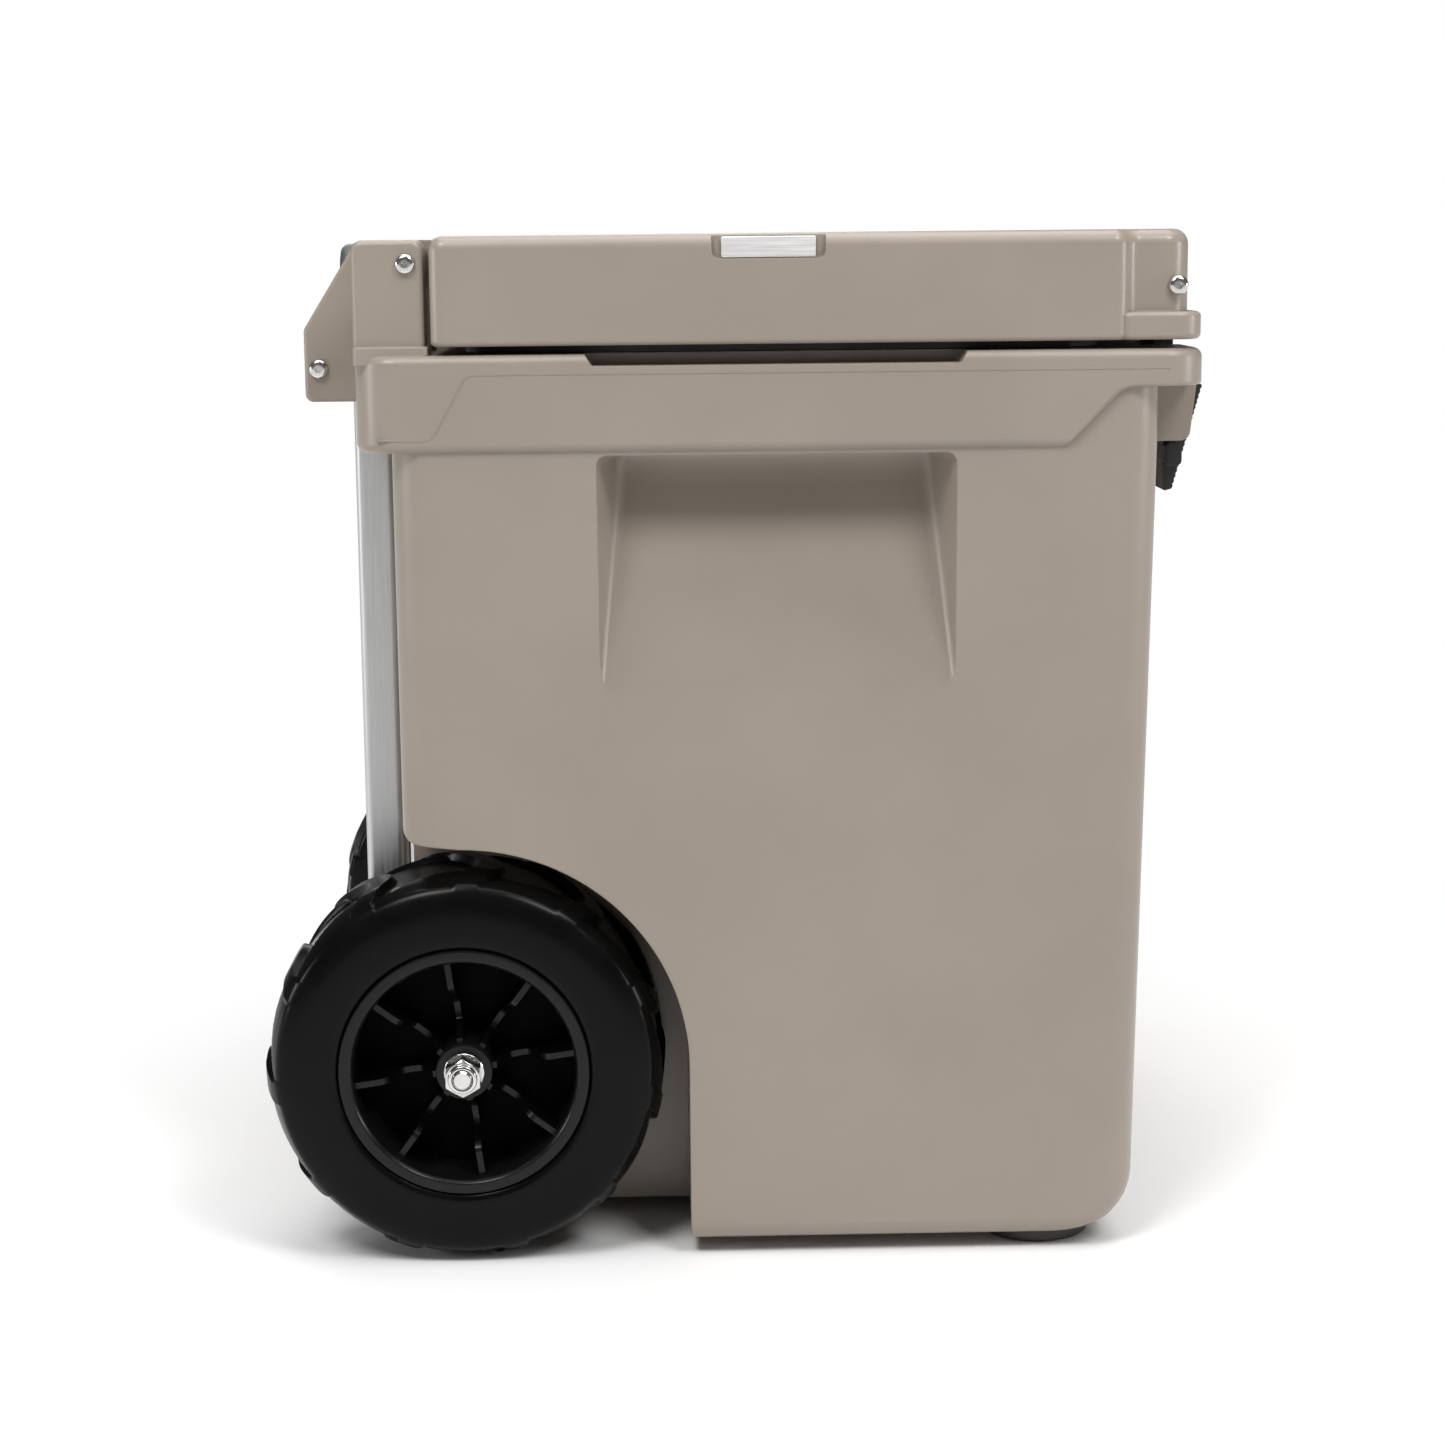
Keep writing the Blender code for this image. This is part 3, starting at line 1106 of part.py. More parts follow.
def release_gear(grey, metal, on_button, on_top):
    """The release button, the yoke under it and the rods that it pushes down the tubes."""
    plan = rectangle(TUBE_MIDDLE_X - BUTTON_HALF_DEEP, TUBE_MIDDLE_X + BUTTON_HALF_DEEP,
                     -BUTTON_HALF_W, BUTTON_HALF_W, BUTTON_R)
    cap = pad(plan, YOKE_TOP_Z + FIT_GAP, GRIP_TOP_Z + BUTTON_PROUD, 0, BUTTON_R / 3)
    piece("release_button", cap, grey, on_button)
    half_deep = BUTTON_HALF_DEEP / 2 - RUN_GAP
    reach = TUBE_MIDDLE_Y + RELEASE_ROD_R
    yoke = box((TUBE_MIDDLE_X - half_deep, -reach, YOKE_BASE_Z),
               (TUBE_MIDDLE_X + half_deep, reach, YOKE_TOP_Z))
    piece("release_yoke", yoke, metal, on_button)
    plug_top = INNER_FOOT_Z + LOCK_PLUG_H
    shrink = INNER_SHRINK + INNER_WALL + FIT_GAP
    for name, side in SIDES:
        foot = Vector((TUBE_MIDDLE_X, side * TUBE_MIDDLE_Y, 0))
        rod_form = cylinder("Z", foot, RELEASE_ROD_R, plug_top - LOCK_PLUG_H / 2,
                            YOKE_BASE_Z - FIT_GAP, steps=ARC_STEPS * 3)
        piece(f"release_rod_{name}", rod_form, metal, on_button)
        outline_points = tube_outline(side, shrink, INNER_WALL / 2)
        plug = piece(f"lock_plug_{name}", prism(outline_points, "Z", INNER_FOOT_Z, plug_top), grey,
                     on_top)
        cut(plug, cylinder("Z", foot, RELEASE_ROD_R + RUN_GAP, INNER_FOOT_Z + BUTTON_TRAVEL,
                           plug_top + OVERRUN, steps=ARC_STEPS * 3), "rod_bore")


def return_springs(metal, on):
    """Two small coil springs in the grip that lift the yoke."""
    low = CHANNEL_BASE_Z + FIT_GAP + SPRING_WIRE_R
    high = YOKE_BASE_Z - FIT_GAP - SPRING_WIRE_R
    radius = BUTTON_HALF_DEEP / 2 - RUN_GAP - SPRING_WIRE_R
    count = SPRING_TURNS * SPRING_TURN_STEPS
    for name, side in SIDES:
        rings = []
        for step in range(count + 1):
            turn = math.tau * step / SPRING_TURN_STEPS
            outward = Vector((math.cos(turn), math.sin(turn), 0))
            middle = Vector((TUBE_MIDDLE_X, side * SPRING_Y, low + (high - low) * step / count))
            ring = []
            for corner in range(SPRING_WIRE_SIDES):
                around = math.tau * corner / SPRING_WIRE_SIDES
                out = outward * (radius + SPRING_WIRE_R * math.cos(around))
                ring.append(middle + out + Vector((0, 0, SPRING_WIRE_R * math.sin(around))))
            rings.append(ring)
        piece(f"return_spring_{name}", skin(rings), metal, on)


def tube_bracket(name, side, grey):
    """The moulded foot that holds an outer tube against the body's back."""
    middle = side * TUBE_MIDDLE_Y
    half = TUBE_WIDE / 2 + BRACKET_SIDE
    plan = rectangle(BRACKET_REAR_X, BODY_REAR_X - FIT_GAP, middle - half, middle + half, BRACKET_SIDE)
    item = piece(f"tube_bracket_{name}", pad(plan, BRACKET_BASE_Z, BRACKET_TOP_Z, BRACKET_SIDE / 2,
                                             BRACKET_SIDE / 2), grey)
    cut(item, prism(tube_outline(side, -FIT_GAP, TUBE_R), "Z", TUBE_FOOT_Z - FIT_GAP,
                    BRACKET_TOP_Z + OVERRUN), "socket")
    centre = Vector((BRACKET_REAR_X, middle, BRACKET_SCREW_Z))
    reach = BODY_REAR_X - BRACKET_REAR_X
    head_bore_r = BRACKET_HEAD_R + FIT_GAP
    screw_bore_r = BRACKET_SCREW_R + FIT_GAP
    bore = turned(((0, -OVERRUN), (head_bore_r, -OVERRUN), (head_bore_r, BRACKET_HEAD_H),
                   (screw_bore_r, BRACKET_HEAD_H), (screw_bore_r, reach), (0, reach)),
                  "X", centre, ROD_STEPS)
    cut(item, bore, "screw_bore")
    return item


def bracket_screws(metal):
    """The screws that fasten the tube brackets to the body."""
    reach = BODY_REAR_X - BRACKET_REAR_X + BRACKET_SCREW_L
    head = BRACKET_HEAD_H - FIT_GAP
    for name, side in SIDES:
        centre = Vector((BRACKET_REAR_X, side * TUBE_MIDDLE_Y, BRACKET_SCREW_Z))
        form = turned(((0, 0), (BRACKET_HEAD_R, 0), (BRACKET_HEAD_R, head), (BRACKET_SCREW_R, head),
                       (BRACKET_SCREW_R, reach), (0, reach)), "X", centre, ROD_STEPS)
        piece(f"bracket_screw_{name}", form, metal)


def tread_drop(place, across):
    """How far the tread lies below a claw's top, at a place in a lug's pitch."""
    if place <= CLAW_SHARE:
        return 0
    past = (place - CLAW_SHARE) / (1 - CLAW_SHARE)
    inward = 1 - abs(1 - 2 * across)
    return CRESCENT_DEPTH if inward < CRESCENT_SHARE * (1 - past) else CLAW_DEPTH


def tyre(name, side, black, on):
    """A tyre with rounded shoulders and claw-shaped lugs that sweep in from both of them."""
    rings = []
    pitch = math.tau / LUG_COUNT
    tread = [depth for height, depth in TYRE_SECTION_SHARES if height > SHOULDER_SHARE]
    for height, depth in TYRE_SECTION_SHARES:
        across = min(max((depth - tread[0]) / (tread[-1] - tread[0]), 0), 1)
        relief = max(height - SHOULDER_SHARE, 0) / (1 - SHOULDER_SHARE)
        sweep = STAGGER_SHARE * across * height - CLAW_SWEEP_SHARE * math.sin(math.pi * across)
        y = side * (RING_Y - WHEEL_W * depth)
        ring = []
        for column in range(LUG_COUNT * len(LUG_COLUMN_SHARES)):
            lug, place = divmod(column, len(LUG_COLUMN_SHARES))
            place = LUG_COLUMN_SHARES[place]
            radius = BEAD_R + FIT_GAP + (WHEEL_R - BEAD_R - FIT_GAP) * height
            radius -= relief * tread_drop(place, across)
            turn = LUG_START + pitch * (lug + place + sweep)
            ring.append((AXLE_X + radius * math.cos(turn), y, AXLE_Z + radius * math.sin(turn)))
        rings.append(ring)
    return piece(f"tyre_{name}", skin(rings, closed_loop=True), black, on)


def dipped_rib(turn, side):
    """One thin rib from the boss to the barrel, whose front edge dips on its way."""
    back = WEB_DEPTH + WEB_T / 2
    end_r = BARREL_IN_R + RIB_T / 2
    reach = BARREL_IN_R - BOSS_R
    edge = [(BOSS_R - RIB_T, RIB_SET_BACK)]
    edge += [(BOSS_R + reach * place, RIB_SET_BACK + RIB_DIP * share)
             for place, share in RIB_EDGE_SHARES]
    edge += [(end_r, RIB_SET_BACK), (end_r, back), (BOSS_R - RIB_T, back)]
    rings = []
    for across in (-RIB_T / 2, RIB_T / 2):
        rings.append([(AXLE_X + radius * math.cos(turn) - across * math.sin(turn),
                       side * (RING_Y - depth),
                       AXLE_Z + radius * math.sin(turn) + across * math.cos(turn))
                      for radius, depth in edge])
    return skin(rings)


def wheel_hub(name, side, black, on):
    """A moulded hub: barrel, recessed web, boss and eight dipped ribs."""
    lip = RIB_SET_BACK / 4
    section = (
        (HUB_BORE_R, BOSS_SET_BACK),
        (BOSS_R, BOSS_SET_BACK),
        (BOSS_R, WEB_DEPTH),
        (BARREL_IN_R, WEB_DEPTH),
        (BARREL_IN_R, lip),
        (BARREL_IN_R + lip, 0),
        (BEAD_R, 0),
        (BEAD_R, WHEEL_W),
        (BARREL_IN_R, WHEEL_W),
        (BARREL_IN_R, WEB_DEPTH + WEB_T),
        (BOSS_R, WEB_DEPTH + WEB_T),
        (BOSS_R, WHEEL_W),
        (HUB_BORE_R, WHEEL_W),
    )
    profile = [(radius, side * (RING_Y - depth)) for radius, depth in section]
    centre = Vector((AXLE_X, 0, AXLE_Z))
    item = piece(f"wheel_hub_{name}", turned(profile, "Y", centre, WHEEL_STEPS, ring=True), black, on)
    for rib in range(RIB_COUNT):
        add(item, dipped_rib(RIB_START + math.tau * rib / RIB_COUNT, side), f"rib_{rib}")
    return item


def wheel_sleeve(name, side, metal, on):
    """The plain bearing pressed into a hub."""
    section = (
        (AXLE_R + RUN_GAP, BOSS_SET_BACK),
        (HUB_BORE_R - FIT_GAP, BOSS_SET_BACK),
        (HUB_BORE_R - FIT_GAP, WHEEL_W),
        (AXLE_R + RUN_GAP, WHEEL_W),
    )
    profile = [(radius, side * (RING_Y - depth)) for radius, depth in section]
    centre = Vector((AXLE_X, 0, AXLE_Z))
    return piece(f"wheel_sleeve_{name}", turned(profile, "Y", centre, ROD_STEPS, ring=True), metal, on)


def axle_parts(metal):
    """The axle rod, and the washers and lock nuts at its ends."""
    centre = Vector((AXLE_X, 0, AXLE_Z))
    washer_out = RING_Y - BOSS_SET_BACK + FIT_GAP
    nut_low = washer_out + WASHER_T + FIT_GAP
    collar_low = nut_low + NUT_H
    reach = collar_low + NUT_COLLAR_H + AXLE_STAND_OUT
    chamfer = AXLE_R / 5
    piece("axle_rod", turned(((0, -reach), (AXLE_R - chamfer, -reach), (AXLE_R, chamfer - reach),
                              (AXLE_R, reach - chamfer), (AXLE_R - chamfer, reach), (0, reach)),
                             "Y", centre, ROD_STEPS), metal)
    bore = AXLE_R + FIT_GAP
    inner_low = WELL_INNER_Y + FIT_GAP
    inner_high = RING_Y - WHEEL_W - FIT_GAP
    for name, side in SIDES:
        for label, low, high in (("washer", washer_out, washer_out + WASHER_T),
                                 ("spacer", inner_low, inner_high)):
            section = ((bore, low), (WASHER_R, low), (WASHER_R, high), (bore, high))
            profile = [(radius, side * place) for radius, place in section]
            piece(f"axle_{label}_{name}", turned(profile, "Y", centre, ROD_STEPS, ring=True), metal)
        piece(f"axle_nut_{name}", lock_nut(side, centre, nut_low, collar_low, bore), metal)


def lock_nut(side, centre, low, collar_low, bore):
    """A hexagon nut with the round collar of its locking ring."""
    sides = 6
    per_side = ARC_STEPS
    across = NUT_ACROSS / 2
    count = sides * per_side
    levels = ((low, False, 0), (collar_low - NUT_COLLAR_H / 2, False, 0),
              (collar_low, True, 0), (collar_low + NUT_COLLAR_H, True, NUT_COLLAR_H / 4))
    rings = []
    for level, is_round, ease in levels:
        ring = []
        for step in range(count):
            turn = math.tau * step / count
            from_flat = (turn + math.pi / sides) % (math.tau / sides) - math.pi / sides
            radius = NUT_COLLAR_R - ease if is_round else across / math.cos(from_flat)
            ring.append((centre.x + radius * math.cos(turn), side * level,
                         centre.z + radius * math.sin(turn)))
        rings.append(ring)
    for level in (collar_low + NUT_COLLAR_H, low):
        rings.append([(centre.x + bore * math.cos(math.tau * step / count), side * level,
                       centre.z + bore * math.sin(math.tau * step / count))
                      for step in range(count)])
    return skin(rings, closed_loop=True)


def foot(name, side, black):
    """A round rubber foot with a stem up into the body's base."""
    centre = Vector((FOOT_X, side * FOOT_Y, 0))
    profile = ((0, 0), (FOOT_R - FOOT_TAPER, 0), (FOOT_R, FOOT_TAPER), (FOOT_R, FOOT_H),
               (FOOT_STEM_R, FOOT_H), (FOOT_STEM_R, FOOT_H + FOOT_STEM_L), (0, FOOT_H + FOOT_STEM_L))
    return piece(f"foot_{name}", turned(profile, "Z", centre, ROD_STEPS), black)


def drain(black, on):
    """The drain plug and its flat seal, low in the body's back."""
    centre = Vector((BODY_REAR_X, 0, DRAIN_Z))
    stem_r = DRAIN_BORE_R - RUN_GAP
    seal_low = FIT_GAP
    seal_high = seal_low + DRAIN_SEAL_T
    head = seal_high + FIT_GAP
    ease = DRAIN_PLUG_H / 6
    stem_l = CAVITY_REAR_X - BODY_REAR_X - FIT_GAP
    profile = ((0, -head - DRAIN_PLUG_H), (DRAIN_PLUG_R - ease, -head - DRAIN_PLUG_H),
               (DRAIN_PLUG_R, ease - head - DRAIN_PLUG_H), (DRAIN_PLUG_R, -head),
               (stem_r, -head), (stem_r, stem_l), (0, stem_l))
    plug = piece("drain_plug", turned(profile, "X", centre, ROD_STEPS), black, on)
    slot_half = DRAIN_SEAL_T / 2
    depth = DRAIN_PLUG_H / 2
    outer_x = BODY_REAR_X - head - DRAIN_PLUG_H
    for label, tilt in (("across", 0), ("upright", 1)):
        wide = (slot_half, DRAIN_PLUG_R + OVERRUN)
        low = (outer_x - OVERRUN, -wide[1 - tilt], DRAIN_Z - wide[tilt])
        high = (outer_x + depth, wide[1 - tilt], DRAIN_Z + wide[tilt])
        cut(plug, box(low, high), f"coin_slot_{label}")
    seal = ((stem_r + FIT_GAP, -seal_high), (DRAIN_PLUG_R, -seal_high), (DRAIN_PLUG_R, -seal_low),
            (stem_r + FIT_GAP, -seal_low))
    piece("drain_seal", turned(seal, "X", centre, ROD_STEPS, ring=True), black, on)


def build():
    clear_scene()
    tan = finish("tan polyethylene", 165, 153, 143, 0.45, 0)
    black_rubber = finish("black rubber", 25, 25, 25, 0.55, 0)
    black_plastic = finish("black plastic", 18, 18, 18, 0.4, 0)
    grey_plastic = finish("grey plastic", 120, 122, 124, 0.45, 0)
    aluminium = finish("anodised aluminium", 170, 170, 170, 0.35, 1)
    steel = finish("stainless steel", 190, 190, 188, 0.25, 1)

    lid_pivot = carrier("lid_pivot", (HINGE_X, 0, HINGE_Z))
    handle_middle = carrier("handle_middle_slide", (TUBE_MIDDLE_X, 0, MIDDLE_TOP_Z))
    handle_top = carrier("handle_top_slide", (TUBE_MIDDLE_X, 0, GRIP_LEG_Z), handle_middle)
    button_slide = carrier("button_slide", (TUBE_MIDDLE_X, 0, GRIP_TOP_Z), handle_top)
    plug_slide = carrier("drain_plug_slide", (BODY_REAR_X, 0, DRAIN_Z))

    body_shell(tan)
    rod("hinge_rod", HINGE_X, HINGE_Z, POST_OUTER_Y, steel)
    rod_screws("hinge_rod_screw", HINGE_X, HINGE_Z, POST_OUTER_Y, steel)
    rod("handle_rod", HANDLE_ROD_X, HANDLE_ROD_Z, WING_OUTER_Y, steel)
    rod_screws("handle_rod_screw", HANDLE_ROD_X, HANDLE_ROD_Z, WING_OUTER_Y, steel)
    handle_housing(grey_plastic)
    axle_parts(steel)
    bracket_screws(steel)
    drain(black_plastic, plug_slide)

    lid_shell(tan, lid_pivot)
    lid_seal(black_rubber, lid_pivot)
    side_plate(aluminium, lid_pivot)
    screw_y = LID_HALF_W - LID_STEP_IN
    rod("latch_rod", LATCH_ROD_X, LATCH_ROD_Z, screw_y, steel, lid_pivot)
    rod_screws("latch_rod_screw", LATCH_ROD_X, LATCH_ROD_Z, screw_y, steel, lid_pivot)

    handle_tubes(aluminium, None, handle_middle, handle_top)
    tube_collars(grey_plastic, handle_middle)
    handle_grip(grey_plastic, handle_top)
    release_gear(grey_plastic, steel, button_slide, handle_top)
    return_springs(steel, handle_top)

    for name, side in SIDES:
        latch_pivot = carrier(f"latch_pivot_{name}", (LATCH_ROD_X, side * LATCH_MIDDLE_Y, LATCH_ROD_Z),
                              lid_pivot)
        latch(f"latch_{name}", side, black_rubber, latch_pivot)
        tube_bracket(name, side, grey_plastic)
        foot(name, side, black_rubber)
        wheel_pivot = carrier(f"wheel_pivot_{name}", (AXLE_X, side * RING_Y, AXLE_Z))
        tyre(name, side, black_rubber, wheel_pivot)
        wheel_hub(name, side, black_plastic, wheel_pivot)
        wheel_sleeve(name, side, steel, wheel_pivot)


build()
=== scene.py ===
"""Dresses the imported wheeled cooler: a rotomoulded box on two wheels, with a hinged lid,
rubber T-latches and a telescopic pull handle.

Lengths are in metres. +X is the front, -X the rear with the wheels, +Z is up, and the right
side, with the lid's bare plate, is -Y.
"""

import math
from contextlib import contextmanager

import bmesh
import bpy
from bpy.props import FloatProperty, FloatVectorProperty, PointerProperty
from mathutils import Matrix, Vector


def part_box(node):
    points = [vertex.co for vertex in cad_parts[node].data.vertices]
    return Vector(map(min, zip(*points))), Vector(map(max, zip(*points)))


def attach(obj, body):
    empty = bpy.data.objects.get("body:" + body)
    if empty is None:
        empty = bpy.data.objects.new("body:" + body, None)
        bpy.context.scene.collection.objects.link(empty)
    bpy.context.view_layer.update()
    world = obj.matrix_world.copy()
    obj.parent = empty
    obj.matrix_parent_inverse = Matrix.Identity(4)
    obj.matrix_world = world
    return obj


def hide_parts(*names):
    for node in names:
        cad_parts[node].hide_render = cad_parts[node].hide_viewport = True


bl_info = {
    "name": "Wheeled cooler",
    "version": (1, 0, 0),
    "blender": (4, 5, 0),
    "location": "View3D > Sidebar > Cooler",
    "description": "Models and paints the visible pieces of a wheeled cooler",
    "category": "Object",
}

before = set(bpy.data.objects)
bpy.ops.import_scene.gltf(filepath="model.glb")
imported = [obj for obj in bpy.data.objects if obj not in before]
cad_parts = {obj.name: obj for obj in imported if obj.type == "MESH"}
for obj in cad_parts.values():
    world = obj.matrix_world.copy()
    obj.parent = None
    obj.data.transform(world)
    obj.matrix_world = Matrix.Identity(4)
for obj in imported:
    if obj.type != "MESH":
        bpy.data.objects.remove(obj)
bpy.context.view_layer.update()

# Clearances and fineness
FIT_GAP = 0.0003
RUN_GAP = 0.0005
OVERRUN = 0.003
SMALLEST_SIZE = 0.00005
MERGE = 0.000002
CLEAN_GAP = 0.00002
WALL_TOLERANCE = 0.00003
ARC_STEPS, HIDDEN_BORE_STEPS, BORE_STEPS = 8, 24, 32
ROD_STEPS, DISC_STEPS, WHEEL_STEPS = 48, 64, 144
SMOOTH_ANGLE = math.radians(32)
HEXAGON = 6

# Feet
FOOT_X, FOOT_Y = 0.1522, 0.1797
FOOT_R, FOOT_H, FOOT_STEPS = 0.0280, 0.0075, 72
FOOT_TAPER, FOOT_EDGE_SHARE, FOOT_EDGE_H = 0.0025, 0.4, 0.0006

# Body
BODY_REAR_X, BODY_FRONT_X = -0.1648, 0.2053
BODY_MIDDLE_X = (BODY_REAR_X + BODY_FRONT_X) / 2
BODY_HALF_W = 0.2265
BODY_BASE_Z = 0.0078
BODY_CORNER_R = 0.018
SIDE_DRAFT_SHARE = 0.0187
TOE_R = 0.030
BASE_EDGE_R = 0.009
RIM_TOP_Z, RIM_BASE_Z = 0.4512, 0.4050
RIM_REAR_X, RIM_FRONT_X = -0.1812, 0.2261
RIM_HALF_W = 0.2295
RIM_CORNER_R = 0.020
RIM_EDGE_R = 0.0045
LIP_BASE_Z = 0.4335
SLANT_HIGH_X, SLANT_LOW_X, SLANT_R, RISE_EDGE_R = 0.1865, 0.1557, 0.012, 0.0014
NOTCH_HALF_L, NOTCH_DEPTH, NOTCH_IN = 0.0878, 0.0055, 0.0240
NOTCH_LEAN_SHARE, NOTCH_EDGE_R = 0.6, 0.002
PARTING_CORNERS = ((-0.1700, 0.4114, 0), (-0.1440, 0.4110, 0.0080),
                   (-0.1270, 0.4420, 0.0060), (0.2080, 0.4420, 0))
HOLD_TOP_Z, HOLD_BOTTOM_Z = 0.4030, 0.2815
HOLD_HALF_L, HOLD_DEPTH = 0.0865, 0.0360
HOLD_BACK_H, HOLD_SIDE_IN, HOLD_EDGE_R = 0.0120, 0.0100, 0.0050

# Cavity
CAVITY_REAR_X, CAVITY_FRONT_X, CAVITY_HALF_W = -0.1163, 0.1653, 0.1865
CAVITY_STEP_X, CAVITY_STEP_Z = 0.0152, 0.2513
CAVITY_NARROW, CAVITY_FLOOR_Z, CAVITY_STEP = 0.10765, 0.0458, 0.002
CAVITY_CORNER_R, CAVITY_EDGE_R = 0.020, 0.012

# Wheels and axle
AXLE_X, AXLE_Z, AXLE_R = -0.1363, 0.0998, 0.0050
AXLE = (AXLE_X, 0, AXLE_Z)
AXLE_EASE_R, AXLE_EASE_L = 0.0010, 0.0006
THREAD_PITCH, THREAD_DEPTH, THREAD_TURNS = 0.0015, 0.0005, 8
THREAD_CREST, THREAD_START = 0.0001, 0.0008
RING_Y = 0.22765
WHEEL_R, WHEEL_W = 0.0998, 0.0740
BEAD_R, BARREL_IN_R = 0.0620, 0.0550
WELL_R, WELL_RISE, WELL_EDGE_R, WELL_INNER_Y = 0.1115, 0.0030, 0.0080, 0.14765
HUB_BORE_R = 0.0076
HUB_EDGE, HUB_NICK, HUB_LIP_EASE, HUB_LIP_END = 0.0010, 0.0003, 0.0004, 0.0005
BOSS_R, BOSS_SET_BACK = 0.0140, 0.0023
WEB_DEPTH, WEB_T = 0.0330, 0.0045
DISH_MARGIN, FLANK_SHARE = 0.0001, 0.6
RIB_COUNT, RIB_T, RIB_DIP = 8, 0.0030, 0.0160
RIB_SET_BACK, RIB_START = 0.0070, math.radians(8)
RIB_EDGE_SHARES = ((0.05, 0.03), (0.11, 0.44), (0.18, 0.84), (0.24, 0.97), (0.41, 1.00),
                   (0.50, 0.75), (0.57, 0.31), (0.65, 0.06), (0.71, 0.00))
WASHER_R, WASHER_T, WASHER_EASE = 0.0100, 0.0020, 0.0003
NUT_ACROSS, NUT_H, NUT_CHAMFER, NUT_FACE_IN = 0.0170, 0.0095, 0.0011, 0.0004
NUT_COLLAR_R, NUT_COLLAR_H, NUT_COLLAR_SUNK = 0.0073, 0.0025, 0.0010
NUT_COLLAR_EASES, NUT_COLLAR_SHARES = (0.0004, 0.0012), (0.55, 0.85)
AXLE_STAND_OUT = 0.0014
TYRE_SECTION_SHARES = (
    (0.00, 0.030), (0.10, 0.004), (0.50, 0.012), (0.78, 0.060), (0.90, 0.125), (0.97, 0.200),
    (1.00, 0.275), (1.00, 0.400), (1.00, 0.530), (1.00, 0.660), (1.00, 0.790), (0.95, 0.880),
    (0.80, 0.960), (0.00, 0.990),
)
SHOULDER_SHARE, RELIEF_START_SHARE, RELIEF_END_SHARE = 0.78, 0.74, 0.97
LUG_COUNT = 11
LUG_START = math.radians(19.6)
CLAW_SHARE, CLAW_EASE_SHARE, CRESCENT_SHARE = 0.20, 0.035, 0.50
CRESCENT_BEFORE_SHARE, CRESCENT_AFTER_SHARE = 0.03, 0.05
CLAW_DEPTH, CRESCENT_DEPTH = 0.0040, 0.0015
CLAW_SWEEP_SHARE, STAGGER_SHARE = 0.42, 0.50
LUG_COLUMN_SHARES = (
    0.00, 0.01, 0.05, 0.10, 0.15, 0.19, 0.20, 0.212, 0.225, 0.235, 0.26, 0.30, 0.35, 0.40,
    0.45, 0.50, 0.55, 0.60, 0.65, 0.70, 0.75, 0.80, 0.85, 0.90, 0.94, 0.965, 0.975, 0.988,
)

# Lid
LID_BASE_Z, LID_TOP_Z = 0.4553, 0.5074
LID_FRONT_X, LID_LIP_X, LID_LIP_TOP_Z = 0.2194, 0.2245, 0.4685
LID_HALF_W = 0.2275
LID_TOP_R, LID_EDGE_R = 0.0070, 0.0025
LID_CORNER_R, LID_REAR_CORNER_R = 0.0130, 0.0080
LID_STEP_X, LID_STEP_IN, LID_STEP_L, LID_STEP_R = 0.1855, 0.0090, 0.0055, 0.0076
LID_PANEL_IN, LID_PANEL_DEPTH = 0.0300, 0.0015
PLUG_DEPTH, PLUG_CLEAR = 0.0098, 0.0030
PLATE_MIDDLE_X, PLATE_HALF_L = 0.01695, 0.02245
PLATE_BASE_Z, PLATE_H, PLATE_T = 0.4959, 0.0098, 0.0015
PLATE_NOTCH_SIDE, PLATE_NOTCH_DEPTH, PLATE_NOTCH_R = 0.0045, 0.0035, 0.0035

# Hinge
HINGE_X, HINGE_Z = -0.1549, 0.4943
EAR_FRONT, EAR_UP, EAR_TOP_R = 0.0082, 0.0114, 0.0055
EAR_TOP_Z = HINGE_Z + EAR_UP
EAR_REACH = math.hypot(EAR_FRONT - EAR_TOP_R, EAR_UP - EAR_TOP_R) + EAR_TOP_R
LID_BACK_GAP, LID_REAR_AHEAD = 0.0006, 0.0104
LID_BACK_X = HINGE_X + EAR_REACH + LID_BACK_GAP
LID_REAR_X = HINGE_X + LID_REAR_AHEAD
CHEEK_T, CHEEK_GAP = 0.0047, 0.0006
POST_SET_IN, POST_T = 0.0004, 0.0222
POST_REAR_X = RIM_REAR_X + POST_SET_IN
POST_OUTER_Y = LID_HALF_W - CHEEK_T - CHEEK_GAP
POST_INNER_Y = POST_OUTER_Y - POST_T
POST_EDGE_R, PAD_T, PAD_MARGIN = 0.0030, 0.0043, 0.0015
WING_INNER_Y, WING_OUTER_Y = 0.14545, 0.16245
WING_REAR_X, WING_TOP_X = -0.2110, -0.1838
WING_BASE_Z, WING_KNEE_Z = 0.4266, 0.4622
WING_CORNER_R, WING_TOP_R, WING_EDGE_R = 0.0040, 0.0060, 0.0021
KNUCKLE_R, KNUCKLE_GAP, CENTRE_KNUCKLE_HALF = 0.0112, 0.0015, 0.0550

# Latches and keepers
LATCH_ROD_X, LATCH_ROD_Z, LATCH_MIDDLE_Y = 0.2128, 0.4808, 0.1437
LATCH_HALF_W, LATCH_LOOP_R, LATCH_BACK, LATCH_FRONT = 0.0200, 0.0080, 0.0021, 0.0079
LATCH_NECK, LATCH_SHOULDER, LATCH_SWELL, LATCH_LENGTH = 0.0220, 0.0498, 0.0225, 0.1030
LATCH_TIP_T, LATCH_RIDGES, LATCH_RIDGE_H = 0.0034, 20, 0.0006
LATCH_RIDGE_SHARES = (0.65, 0.35)
LATCH_EAR_HALF, LATCH_EAR_DROP, LATCH_EAR_H = 0.0290, 0.0783, 0.0115
LATCH_EAR_BACK, LATCH_EAR_T = 0.0036, 0.0080
KEEPER_X, KEEPER_Z = 0.2157, 0.4042
GUARD_HALF_IN, GUARD_T, GUARD_R = 0.0300, 0.0100, 0.0050
GUARD_TOP_OUT, GUARD_FOOT_OUT = 0.0244, 0.0204
